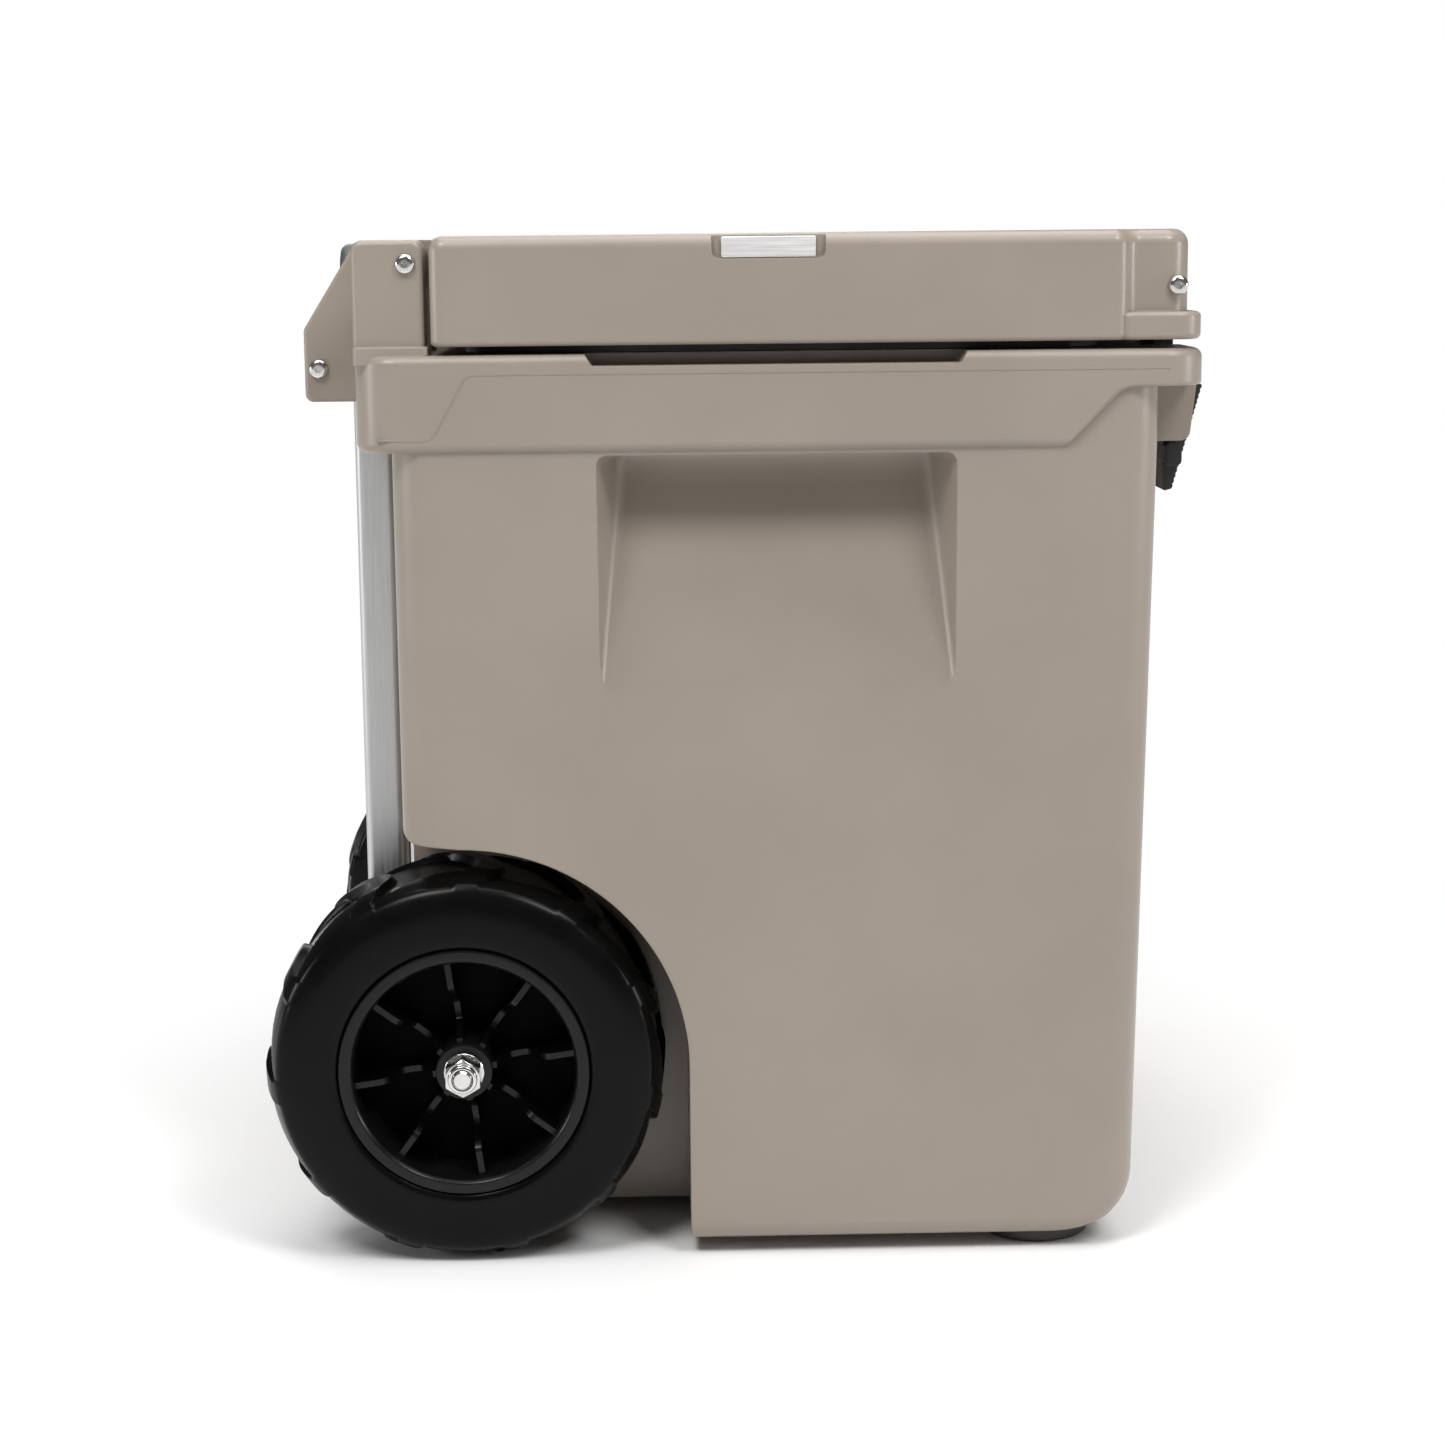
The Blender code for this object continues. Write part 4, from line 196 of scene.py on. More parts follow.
SLOT_CLEAR = 0.0015

# Rods and screws
ROD_R = 0.0040
SCREW_HEAD_R, SCREW_HEAD_H = 0.0048, 0.0027
SCREW_SOCKET_R, SCREW_SOCKET_DEPTH = 0.0016, 0.0014
SCREW_LAND, SCREW_RIM_SHARE, SCREW_KEY_SHARE = 0.0008, 0.22, 1.15

# Telescopic handle
TUBE_X, TUBE_Y = -0.1796, 0.12865
TUBE_DEEP, TUBE_WIDE, TUBE_R = 0.0200, 0.0260, 0.0040
OUTER_WALL, MIDDLE_WALL, INNER_WALL, TUBE_END_R = 0.0016, 0.0014, 0.0012, 0.0003
TUBE_ARC_STEPS = 6
COLLAR_T, COLLAR_EDGE_R = 0.0055, 0.0008
HANDLE_ROD_X, HANDLE_ROD_Z = -0.2038, 0.4430
HOUSING_REAR_X, HOUSING_FRONT_X, HOUSING_R = -0.2105, -0.1658, 0.0030
HOUSING_BASE_Z, HOUSING_TOP_Z = 0.4290, 0.4515
GRIP_REAR_X, GRIP_FRONT_X, GRIP_HALF_W = -0.1943, -0.1703, 0.14395
GRIP_LEG_W, GRIP_LEG_Z, GRIP_BAR_Z, GRIP_TOP_Z = 0.0310, 0.4619, 0.4790, 0.5040
GRIP_OUTER_R, GRIP_INNER_R, GRIP_EDGE_R, GRIP_SOFT_R = 0.0140, 0.0090, 0.0040, 0.0005
BUTTON_HALF_W, BUTTON_HALF_DEEP, BUTTON_R, BUTTON_PROUD = 0.0220, 0.0065, 0.0030, 0.0010
BUTTON_EDGE_R, WINDOW_FLOOR = 0.0012, 0.0040
BRACKET_BASE_Z, BRACKET_TOP_Z, BRACKET_SIDE, BRACKET_SEAT = 0.0300, 0.0760, 0.0030, 0.0220
BRACKET_REAR_X, BRACKET_EDGE_R = TUBE_X - TUBE_DEEP / 2 - BRACKET_SIDE, 0.0015
BRACKET_SCREW_Z, BRACKET_HEAD_R, BRACKET_HEAD_H = 0.0410, 0.0055, 0.0030
BRACKET_HEAD_EASES = ((0.0008, 0), (0.0002, 0.0003), (0, 0.0009))
CROSS_HALF_T, CROSS_HALF_L, CROSS_DEPTH = 0.0006, 0.0032, 0.0015

# Drain
DRAIN_Z, DRAIN_BORE_R, DRAIN_SEAL_T = 0.0601, 0.0110, 0.0025
DRAIN_PLUG_R, DRAIN_PLUG_H, DRAIN_SOFT_R = 0.0170, 0.0120, 0.0004
DRAIN_EASE_SHARE = 0.3

# Looks
PLASTIC_IOR = 1.5
NOISE_LOW, NOISE_HIGH = 0.3, 0.7
BRUSHED_SWING, BRUSHED_STRENGTH, BRUSHED_DEPTH = 0.06, 0.6, 0.000008
FLOOR_R, FLOOR_STEPS, FADE_START_R, FADE_END_R = 14, 96, 0.42, 0.8
FAINT_LIGHT = 0.12
LAMP_AIM = Vector((0.02, 0, 0.22))
LAMPS = (
    ("key", (-1.0, -1.8, 2.7), 1.0, 48), ("fill", (1.3, -1.8, 2.6), 1.0, 43),
    ("top", (0.2, 0.1, 2.6), 2.2, 50), ("left", (-2.4, -0.7, 0.6), 0.5, 11),
    ("right", (2.4, -0.7, 0.6), 0.5, 11), ("back", (-0.6, 2.6, 2.0), 1.8, 24),
)
CAMERA_PLACE, SENSOR_MM = (-0.0392, -1.6092, 0.5040), 36

SIDES = (("right", -1), ("left", 1))
PLANES = {
    "X": lambda u, v, w: Vector((w, u, v)),
    "Y": lambda u, v, w: Vector((u, w, v)),
    "Z": lambda u, v, w: Vector((u, v, w)),
}
SPIN_AXES = {
    "X": (Vector((1, 0, 0)), Vector((0, 0, 1))),
    "Y": (Vector((0, 1, 0)), Vector((1, 0, 0))),
    "Z": (Vector((0, 0, 1)), Vector((1, 0, 0))),
}


# Outlines

def corner_arc(before, corner, after, radius, steps):
    """Points of the fillet at one corner of an outline."""
    back = (before - corner).normalized()
    ahead = (after - corner).normalized()
    half = back.angle(ahead) / 2
    centre = corner + (back + ahead).normalized() * (radius / math.sin(half))
    start = corner + back * (radius / math.tan(half)) - centre
    end = corner + ahead * (radius / math.tan(half)) - centre
    sweep = start.angle(end)
    points = []
    for step in range(steps + 1):
        share = step / steps
        mixed = start * math.sin((1 - share) * sweep) + end * math.sin(share * sweep)
        points.append(centre + mixed / math.sin(sweep))
    return points


def outline(corners, steps=ARC_STEPS):
    """Points round a closed outline from its corners (u, v, fillet radius)."""
    points = []
    for index, (u, v, radius) in enumerate(corners):
        corner = Vector((u, v))
        if radius == 0:
            points.append(corner)
            continue
        before = Vector(corners[index - 1][:2])
        after = Vector(corners[(index + 1) % len(corners)][:2])
        points.extend(corner_arc(before, corner, after, radius, steps))
    return points


def rectangle(low_u, high_u, low_v, high_v, radius=0, steps=ARC_STEPS):
    return outline(((low_u, low_v, radius), (high_u, low_v, radius),
                    (high_u, high_v, radius), (low_u, high_v, radius)), steps)


def arc(u, v, radius, start, sweep, steps):
    """Points along a circle's arc about (u, v), with both of its ends."""
    turns = [start + sweep * step / steps for step in range(steps + 1)]
    return [Vector((u + radius * math.cos(turn), v + radius * math.sin(turn))) for turn in turns]


def hexagon(u, v, radius, start=0):
    return arc(u, v, radius, start, math.tau - math.tau / HEXAGON, HEXAGON - 1)


# Shaping

def take(item):
    """Selects one piece alone and makes it the active one."""
    bpy.ops.object.select_all(action="DESELECT")
    item.select_set(True)
    bpy.context.view_layer.objects.active = item


@contextmanager
def shaping(item):
    """Edit mode on one piece, with nothing in it selected."""
    take(item)
    bpy.ops.object.mode_set(mode="EDIT")
    bpy.ops.mesh.select_all(action="DESELECT")
    yield
    bpy.ops.object.mode_set(mode="OBJECT")


def mend_skin():
    """Closes seams and poles of the mesh in edit mode and turns its faces outwards."""
    bpy.ops.mesh.select_all(action="SELECT")
    bpy.ops.mesh.remove_doubles(threshold=MERGE)
    bpy.ops.mesh.delete_loose(use_verts=True, use_edges=True, use_faces=False)
    bpy.ops.mesh.select_all(action="SELECT")
    bpy.ops.mesh.normals_make_consistent(inside=False)
    if bmesh.from_edit_mesh(bpy.context.object.data).calc_volume(signed=True) < 0:
        bpy.ops.mesh.flip_normals()


def placed(item, name, points):
    """Names a new primitive and moves its points to their places."""
    item.name = name
    item.data.name = name
    item.data.vertices.foreach_set("co", [value for point in points for value in point])
    return item


def drawn(name, points, axis, low, high):
    """A filled circle shaped to an outline and extruded along an axis."""
    bpy.ops.object.select_all(action="DESELECT")
    bpy.ops.mesh.primitive_circle_add(vertices=len(points), fill_type="NGON")
    place = PLANES[axis]
    item = placed(bpy.context.object, name, [place(u, v, low) for u, v in points])
    with shaping(item):
        bpy.ops.mesh.select_all(action="SELECT")
        bpy.ops.mesh.extrude_region_move(TRANSFORM_OT_translate={"value": place(0, 0, high - low)})
        mend_skin()
    return item


def drawn_out(name, points, side, inner, outer):
    """An outline extruded outwards on one side of the middle, between two distances from it."""
    return drawn(name, points, "Y", *sorted((side * inner, side * outer)))


def block(name, low, high):
    """A cube primitive at its size and place."""
    low, high = Vector(low), Vector(high)
    bpy.ops.object.select_all(action="DESELECT")
    bpy.ops.mesh.primitive_cube_add(size=1, location=(low + high) / 2, scale=high - low)
    item = bpy.context.object
    item.name = name
    bpy.ops.object.transform_apply(location=True, rotation=True, scale=True)
    return item


def spun(name, profile, axis, centre, steps=ROD_STEPS):
    """A profile of (radius, place along the axis), spun about a line through the centre."""
    along, out = SPIN_AXES[axis]
    centre = Vector(centre)
    bpy.ops.object.select_all(action="DESELECT")
    bpy.ops.mesh.primitive_circle_add(vertices=len(profile), fill_type="NOTHING")
    points = [centre + out * radius + along * place for radius, place in profile]
    item = placed(bpy.context.object, name, points)
    with shaping(item):
        bpy.ops.mesh.select_all(action="SELECT")
        bpy.ops.mesh.spin(steps=steps, angle=math.tau, center=centre, axis=along,
                          use_auto_merge=True)
        mend_skin()
    return item


def peg(name, radius, low, high, axis, centre, steps=BORE_STEPS):
    """A plain round peg, the tool for a bore."""
    profile = ((0, low), (radius, low), (radius, high), (0, high))
    return spun(name, profile, axis, centre, steps)


def turned(name, section, side, steps, centre=AXLE):
    """A section of (radius, distance out from the centre), spun about a line along Y."""
    return spun(name, [(radius, side * place) for radius, place in section], "Y", centre, steps)


def lofted(name, rings, closed=False):
    """A grid primitive wrapped round rings of points, filled at its ends unless it closes."""
    rows = rings + rings[:1] if closed else rings
    bpy.ops.object.select_all(action="DESELECT")
    bpy.ops.mesh.primitive_grid_add(x_subdivisions=len(rings[0]), y_subdivisions=len(rows) - 1)
    item = placed(bpy.context.object, name, [point for row in rows for point in (*row, row[0])])
    with shaping(item):
        mend_skin()
        if not closed:
            bpy.ops.mesh.fill_holes(sides=0)
            mend_skin()
    return item


def round_edges(item, width, test, segments=4):
    """Bevels the edges that a test picks."""
    with shaping(item):
        bpy.ops.mesh.select_mode(type="EDGE")
        form = bmesh.from_edit_mesh(item.data)
        form.normal_update()
        for edge in form.edges:
            if test(edge):
                edge.select_set(True)
        bmesh.update_edit_mesh(item.data)
        bpy.ops.mesh.bevel(offset=width, segments=segments, profile=0.5, clamp_overlap=True)
        mend_skin()
    return item


def edges_at(axis, *levels):
    """A test for the edges that lie at one of some levels along an axis (0, 1 or 2)."""
    def test(edge):
        return any(all(abs(vert.co[axis] - level) < MERGE for vert in edge.verts)
                   for level in levels)
    return test


def is_sharp(edge, angle):
    return len(edge.link_faces) == 2 and edge.calc_face_angle() > angle


def rounded_slab(name, plan, low, high, low_r, high_r):
    """An upright slab with rounded bottom and top edges."""
    item = drawn(name, plan, "Z", low, high)
    for level, radius in ((low, low_r), (high, high_r)):
        if radius:
            round_edges(item, radius, edges_at(2, level), 5)
    return item


def apply_modifier(item, kind, **settings):
    take(item)
    modifier = item.modifiers.new(kind.lower(), kind)
    for key, value in settings.items():
        setattr(modifier, key, value)
    bpy.ops.object.modifier_apply(modifier=modifier.name)


def combine(target, operation, tools):
    for tool in tools:
        apply_modifier(target, "BOOLEAN", object=tool, operation=operation, solver="EXACT")
        bpy.data.objects.remove(tool)


def cut(target, *tools):
    combine(target, "DIFFERENCE", tools)


def add(target, *tools):
    combine(target, "UNION", tools)


def clean(item):
    """Merges what the booleans left close together and dissolves the degenerate faces."""
    with shaping(item):
        bpy.ops.mesh.select_all(action="SELECT")
        bpy.ops.mesh.remove_doubles(threshold=CLEAN_GAP)
        bpy.ops.mesh.dissolve_degenerate(threshold=CLEAN_GAP)


def soften(item, width, segments=2):
    """Rounds the edges that are left sharp."""
    clean(item)
    apply_modifier(item, "BEVEL", width=width, segments=segments, limit_method="ANGLE",
                   angle_limit=SMOOTH_ANGLE, use_clamp_overlap=False, miter_outer="MITER_ARC",
                   harden_normals=False)


def finish_piece(item, finish, body, node, flats=True):
    """Shades a finished piece, paints it and ties it to the body that carries it."""
    with shaping(item):
        mend_skin()
    take(item)
    bpy.ops.object.shade_smooth_by_angle(angle=SMOOTH_ANGLE)
    if flats:
        apply_modifier(item, "WEIGHTED_NORMAL", keep_sharp=True, weight=100)
    item.data.materials.clear()
    item.data.materials.append(shared(finish))
    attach(item, body)
    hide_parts(node)
    return item


# Materials

def linear(hex_colour):
    """Turns an sRGB hex colour into the linear colour that a shader takes."""
    channels = [int(hex_colour[index:index + 2], 16) / 255 for index in (1, 3, 5)]
    return [c / 12.92 if c <= 0.04045 else ((c + 0.055) / 1.055) ** 2.4 for c in channels] + [1]


def add_node(tree, kind, settings=None, **inputs):
    """Adds a shader node, sets its properties and fills or links its inputs."""
    node = tree.nodes.new(kind)
    for key, value in (settings or {}).items():
        setattr(node, key, value)
    for key, value in inputs.items():
        socket = node.inputs[int(key[1:])] if key[0] == "_" else node.inputs[key.replace("_", " ")]
        if isinstance(value, bpy.types.NodeSocket):
            tree.links.new(value, socket)
        else:
            socket.default_value = value
    return node


def blank_material(name, roughness, metallic=0, colour=(0.8, 0.8, 0.8)):
    material = bpy.data.materials.new(name)
    material.diffuse_color = [*colour, 1]
    material.use_nodes = True
    tree = material.node_tree
    shader = tree.nodes["Principled BSDF"]
    shader.inputs["Roughness"].default_value = roughness
    shader.inputs["Metallic"].default_value = metallic
    if not metallic:
        shader.inputs["IOR"].default_value = PLASTIC_IOR
    where = add_node(tree, "ShaderNodeTexCoord").outputs["Object"]
    return material, tree, shader, where


def two_tone(tree, shader, factor, colour, swing):
    """Runs the base colour between a darker and a lighter shade by a pattern."""
    ramp = add_node(tree, "ShaderNodeValToRGB", Fac=factor)
    ramp.color_ramp.interpolation = "EASE"
    stops = zip(ramp.color_ramp.elements, (NOISE_LOW, NOISE_HIGH), (1 - swing, 1 + swing))
    for stop, place, share in stops:
        stop.position = place
        stop.color = [channel * share for channel in colour] + [1]
    tree.links.new(ramp.outputs["Color"], shader.inputs["Base Color"])


def swung(tree, factor, middle, swing):
    """A value that a pattern swings to both sides of its middle."""
    return add_node(tree, "ShaderNodeMapRange", {"interpolation_type": "SMOOTHSTEP"},
                    _0=factor, _1=NOISE_LOW, _2=NOISE_HIGH,
                    _3=middle - swing, _4=middle + swing).outputs[0]


def moulded(name, colour, swing, roughness, rough_swing, blotch_mm, grain_mm, grain_um,
            edge_mm=0, shine=0.5):
    """Moulded plastic or rubber: soft blotches of tone, a fine grain and an uneven sheen."""
    material, tree, shader, where = blank_material(name, roughness, 0, colour)
    shader.inputs["Specular IOR Level"].default_value = shine
    blotch = add_node(tree, "ShaderNodeTexNoise", Vector=where, Scale=1000 / blotch_mm, Detail=3.0)
    two_tone(tree, shader, blotch.outputs["Fac"], colour, swing)
    sheen = swung(tree, blotch.outputs["Fac"], roughness, rough_swing)
    tree.links.new(sheen, shader.inputs["Roughness"])
    grain = add_node(tree, "ShaderNodeTexNoise", Vector=where, Scale=1000 / grain_mm, Detail=2.0)
    bump = add_node(tree, "ShaderNodeBump", Strength=1.0, Distance=grain_um / 1000000,
                    Height=grain.outputs["Fac"])
    if edge_mm:
        edge = add_node(tree, "ShaderNodeBevel", {"samples": 4}, Radius=edge_mm / 1000)
        tree.links.new(edge.outputs["Normal"], bump.inputs["Normal"])
    tree.links.new(bump.outputs["Normal"], shader.inputs["Normal"])
    return material


def brushed(name, colour, swing, roughness, line_mm, stretch):
    """Metal with fine lines along one way."""
    material, tree, shader, where = blank_material(name, roughness, 1, colour)
    lie = add_node(tree, "ShaderNodeMapping", Vector=where, Scale=stretch)
    lines = add_node(tree, "ShaderNodeTexNoise", Vector=lie.outputs["Vector"],
                     Scale=1000 / line_mm, Detail=3.0).outputs["Fac"]
    two_tone(tree, shader, lines, colour, swing)
    tree.links.new(swung(tree, lines, roughness, BRUSHED_SWING), shader.inputs["Roughness"])
    bump = add_node(tree, "ShaderNodeBump", Strength=BRUSHED_STRENGTH, Distance=BRUSHED_DEPTH,
                    Height=lines)
    tree.links.new(bump.outputs["Normal"], shader.inputs["Normal"])
    return material


# Each finish: its maker, the setting that holds its colour, and its looks in the maker's order.
FINISHES = {
    # Polyethylene, rotomoulded: a satin skin with a faint orange peel and slow drifts of tone.
    "tan_polyethylene": (moulded, "body", 0.035, 0.32, 0.04, 90, 1.6, 20, 1.2),
    # Rubber, compression moulded: dull, with a fine matt grain.
    "black_rubber": (moulded, "rubber", 0.15, 0.52, 0.05, 30, 0.9, 20),
    # Rubber-like tyre, blow moulded: a soft shine on its flanks with faint flow marks.
    "tyre_rubber": (moulded, "tyre", 0.15, 0.25, 0.03, 25, 0.8, 6, 0, 0.12),
    # Polypropylene, injection moulded: near-black, fine grained and a little glossy.
    "black_plastic": (moulded, "hub", 0.15, 0.27, 0.03, 20, 0.7, 6, 0, 0.25),
    # Polypropylene as it leaves an unpolished part of the mould: dull, and painted darker than the
    # hub's black as shade in the hub's recess.
    "dull_plastic": (moulded, "dish", 0.15, 0.6, 0.03, 20, 0.7, 6, 0, 0.05),
    # ABS, injection moulded with a fine spark-eroded grain.
    "grey_plastic": (moulded, "handle", 0.08, 0.45, 0.04, 25, 0.8, 18),
    # Rubber, moulded and dull: the grey of a hard-wearing tread.
    "foot_rubber": (moulded, "foot", 0.10, 0.6, 0.04, 12, 0.9, 20),
    # Aluminium, drawn and anodised: fine lines along the tube and a soft satin reflection.
    "anodised_aluminium": (brushed, "tube", 0.07, 0.46, 0.5, (1, 1, 0.015)),
    # Aluminium, rolled and brushed along its length, bare.
    "plate_aluminium": (brushed, "plate", 0.04, 0.52, 0.5, (0.02, 1, 1)),
    # Stainless steel, turned and polished: bright with hair-fine turning marks.
    "stainless_steel": (brushed, "steel", 0.05, 0.16, 0.6, (1, 0.3, 1)),
}
MADE_FINISHES = {}


def shared(finish):
    """A finish's material, made once and then shared."""
    if finish not in MADE_FINISHES:
        maker, setting, *looks = FINISHES[finish]
        colour = getattr(bpy.context.scene.cooler_colours, setting)
        MADE_FINISHES[finish] = maker(finish, colour, *looks)
    return MADE_FINISHES[finish]


# Body

def rounded_foot(radius, height):
    """How far a rounded foot edge draws a wall in at a height above the base."""
    if height >= radius:
        return 0
    return radius - math.sqrt(radius ** 2 - (radius - height) ** 2)


def body_walls():
    heights = {RIM_TOP_Z - RIM_EDGE_R - BODY_BASE_Z, RIM_BASE_Z - BODY_BASE_Z}
    for radius in (TOE_R, BASE_EDGE_R):
        for step in range(ARC_STEPS + 1):
            heights.add(radius * (1 - math.cos(math.pi / 2 * step / ARC_STEPS)))
    rings = []
    for height in sorted(heights):
        z = BODY_BASE_Z + height
        draft = SIDE_DRAFT_SHARE * max(RIM_BASE_Z - z, 0)
        low_x = BODY_REAR_X + rounded_foot(BASE_EDGE_R, height)
        high_x = BODY_FRONT_X - draft - rounded_foot(TOE_R, height)
        half = BODY_HALF_W - draft - rounded_foot(BASE_EDGE_R, height)
        ring = rectangle(low_x, high_x, -half, half, BODY_CORNER_R)
        rings.append([(p.x, p.y, z) for p in ring])
    return lofted("moulded_body", rings)


def rim_band():
    plan = rectangle(RIM_REAR_X, RIM_FRONT_X, -RIM_HALF_W, RIM_HALF_W, RIM_CORNER_R)
    band = rounded_slab("rim_band", plan, RIM_BASE_Z, RIM_TOP_Z, RIM_EDGE_R, RIM_EDGE_R)
    below, front_x = RIM_BASE_Z - OVERRUN, RIM_FRONT_X + OVERRUN
    rise = outline(((SLANT_LOW_X, below, 0), (front_x, below, 0),
                    (front_x, LIP_BASE_Z, 0), (SLANT_HIGH_X, LIP_BASE_Z, SLANT_R)))
    cut(band, drawn("rise", rise, "Y", -RIM_HALF_W - OVERRUN, RIM_HALF_W + OVERRUN))
    clean(band)
    return round_edges(band, RISE_EDGE_R, lambda edge: is_sharp(edge, math.radians(40)) and all(
        vert.co.x > SLANT_LOW_X - MERGE and vert.co.z < LIP_BASE_Z + MERGE
        for vert in edge.verts), 3)


def flared_notch(middle_x, half, floor_z, top_z, lean, radius):
    """The outline of a notch that is open at its top."""
    return outline(((middle_x - half, floor_z, radius), (middle_x + half, floor_z, radius),
                    (middle_x + half + lean, top_z, 0), (middle_x - half - lean, top_z, 0)))


def side_notch(side):
    lean = (NOTCH_DEPTH + OVERRUN) * NOTCH_LEAN_SHARE
    shape = flared_notch(BODY_MIDDLE_X, NOTCH_HALF_L, RIM_TOP_Z - NOTCH_DEPTH,
                         RIM_TOP_Z + OVERRUN, lean, NOTCH_EDGE_R)
    return drawn_out("notch", shape, side, RIM_HALF_W - NOTCH_IN, RIM_HALF_W + OVERRUN)


def parting_bead(side, proud):
    """The fine raised line that the mould leaves along the rim's side."""
    corners = [Vector(corner[:2]) for corner in PARTING_CORNERS]
    line = [corners[0]]
    for index in (1, 2):
        line += corner_arc(*corners[index - 1:index + 2], PARTING_CORNERS[index][2], ARC_STEPS)
    line.append(corners[-1])
    inner_y, outer_y = side * (RIM_HALF_W - RIM_EDGE_R / 3), side * (RIM_HALF_W + proud)
    rings = []
    for index, point in enumerate(line):
        ahead = (line[min(index + 1, len(line) - 1)] - line[max(index - 1, 0)]).normalized()
        across = Vector((-ahead.y, ahead.x)) * proud
        rings.append([(spot.x, y, spot.y) for spot, y in (
            (point - across * 2, inner_y), (point - across, outer_y),
            (point + across, outer_y), (point + across * 2, inner_y))])
    return lofted("parting_bead", rings)


def hand_hold(side):
    """A wedge-shaped pocket, deepest under the rim and run out at its lower edge."""
    outer_y, inner_y = side * (BODY_HALF_W + OVERRUN), side * (BODY_HALF_W - HOLD_DEPTH)
    grow = OVERRUN * HOLD_SIDE_IN / HOLD_DEPTH
    fall = OVERRUN * (HOLD_TOP_Z - HOLD_BACK_H - HOLD_BOTTOM_Z) / HOLD_DEPTH
    rings = []
    for y, half, low_z in ((outer_y, HOLD_HALF_L + grow, HOLD_BOTTOM_Z - fall),
                           (inner_y, HOLD_HALF_L - HOLD_SIDE_IN, HOLD_TOP_Z - HOLD_BACK_H)):
        rear_x, front_x = BODY_MIDDLE_X - half, BODY_MIDDLE_X + half
        rings.append([(rear_x, y, low_z), (front_x, y, low_z),
                      (front_x, y, HOLD_TOP_Z), (rear_x, y, HOLD_TOP_Z)])
    return round_edges(lofted("hold", rings), HOLD_EDGE_R,
                       lambda edge: min(abs(vert.co.y) for vert in edge.verts) < BODY_HALF_W, 6)


def wheel_well(side):
    reach_x, below = BODY_REAR_X - OVERRUN, BODY_BASE_Z - OVERRUN
    roof_z = AXLE_Z + WELL_R + WELL_RISE
    front = arc(AXLE_X, AXLE_Z, WELL_R, 0, math.pi / 2, ARC_STEPS * 4)
    corners = [(reach_x, below, 0), (AXLE_X + WELL_R, below, 0)]
    corners += [(*point, 0) for point in front]
    corners += [(BODY_REAR_X, roof_z, WELL_EDGE_R),
                (BODY_REAR_X, roof_z + WELL_EDGE_R + OVERRUN, 0),
                (reach_x, roof_z + WELL_EDGE_R + OVERRUN, 0)]
    return drawn_out("well", outline(corners), side, WELL_INNER_Y, BODY_HALF_W + OVERRUN)


def mirrored_plan(half):
    """An outline across the middle from the corners on its -Y side."""
    return outline(half + [(x, -y, radius) for x, y, radius in reversed(half)])


def cavity():
    wide, front_x = CAVITY_HALF_W - CAVITY_STEP, CAVITY_FRONT_X - CAVITY_STEP
    rear_x, radius = CAVITY_REAR_X + CAVITY_STEP, CAVITY_CORNER_R
    plan = mirrored_plan([(rear_x, -CAVITY_NARROW, radius), (CAVITY_STEP_X, -CAVITY_NARROW, radius),
                          (CAVITY_STEP_X, -wide, radius), (front_x, -wide, radius)])
    low = rounded_slab("cavity_low", plan, CAVITY_FLOOR_Z, CAVITY_STEP_Z + OVERRUN,
                       CAVITY_EDGE_R, 0)
    plan = rectangle(CAVITY_REAR_X, CAVITY_FRONT_X, -CAVITY_HALF_W, CAVITY_HALF_W, radius)
    high = drawn("cavity_high", plan, "Z", CAVITY_STEP_Z, RIM_TOP_Z + OVERRUN)
    add(high, low)
    return high


def ear_front(base_z):
    return [(HINGE_X + EAR_FRONT, base_z, 0), (HINGE_X + EAR_FRONT, EAR_TOP_Z, EAR_TOP_R)]


def hinge_ears(side):
    """The post at the body's rear corner with its pad, and the wing beside the handle."""
    root_z, root_x = RIM_TOP_Z - RIM_EDGE_R, BODY_REAR_X - RIM_EDGE_R
    shape = [(POST_REAR_X, EAR_TOP_Z, EAR_TOP_R), (POST_REAR_X, root_z, 0)]
    post = drawn_out("post", outline(ear_front(root_z) + shape), side, POST_INNER_Y, POST_OUTER_Y)
    round_edges(post, POST_EDGE_R, edges_at(1, side * POST_OUTER_Y))
    low, high = sorted((side * (POST_INNER_Y - PAD_MARGIN), side * (RIM_HALF_W - RIM_EDGE_R)))
    plan = rectangle(POST_REAR_X, HINGE_X + EAR_FRONT + PAD_MARGIN, low, high, PAD_MARGIN * 2)
    pad = rounded_slab("post_pad", plan, root_z, RIM_TOP_Z + PAD_T, 0, PAD_MARGIN / 2)
    shape = [(WING_TOP_X, EAR_TOP_Z, WING_TOP_R),
             (WING_REAR_X, WING_KNEE_Z, WING_TOP_R),
             (WING_REAR_X, WING_BASE_Z, WING_CORNER_R), (root_x, WING_BASE_Z, 0),
             (root_x, root_z, 0)]
    wing = drawn_out("wing", outline(ear_front(root_z) + shape), side, WING_INNER_Y - OVERRUN,
                     WING_OUTER_Y)
    round_edges(wing, WING_EDGE_R, edges_at(1, side * WING_OUTER_Y))
    return post, pad, wing


def keepers(side):
    """The keepers that a latch hooks under, and the guards beside them."""
    root_x, middle = BODY_FRONT_X - RIM_EDGE_R, side * LATCH_MIDDLE_Y
    top_z = LIP_BASE_Z + RIM_EDGE_R
    shape = outline(((root_x, KEEPER_Z, 0), (BODY_FRONT_X + GUARD_FOOT_OUT, KEEPER_Z, GUARD_R),
                     (BODY_FRONT_X + GUARD_TOP_OUT, top_z, 0), (root_x, top_z, 0)))
    forms = []
    for beside in (-1, 1):
        low, high = sorted((middle + beside * (LATCH_HALF_W + SLOT_CLEAR),
                            middle + beside * (GUARD_HALF_IN + GUARD_T / 2)))
        forms.append(block("keeper", (root_x, low, KEEPER_Z), (KEEPER_X, high, top_z)))
        edge = middle + beside * GUARD_HALF_IN
        forms.append(drawn("guard", shape, "Y", *sorted((edge, edge + beside * GUARD_T))))
    return forms


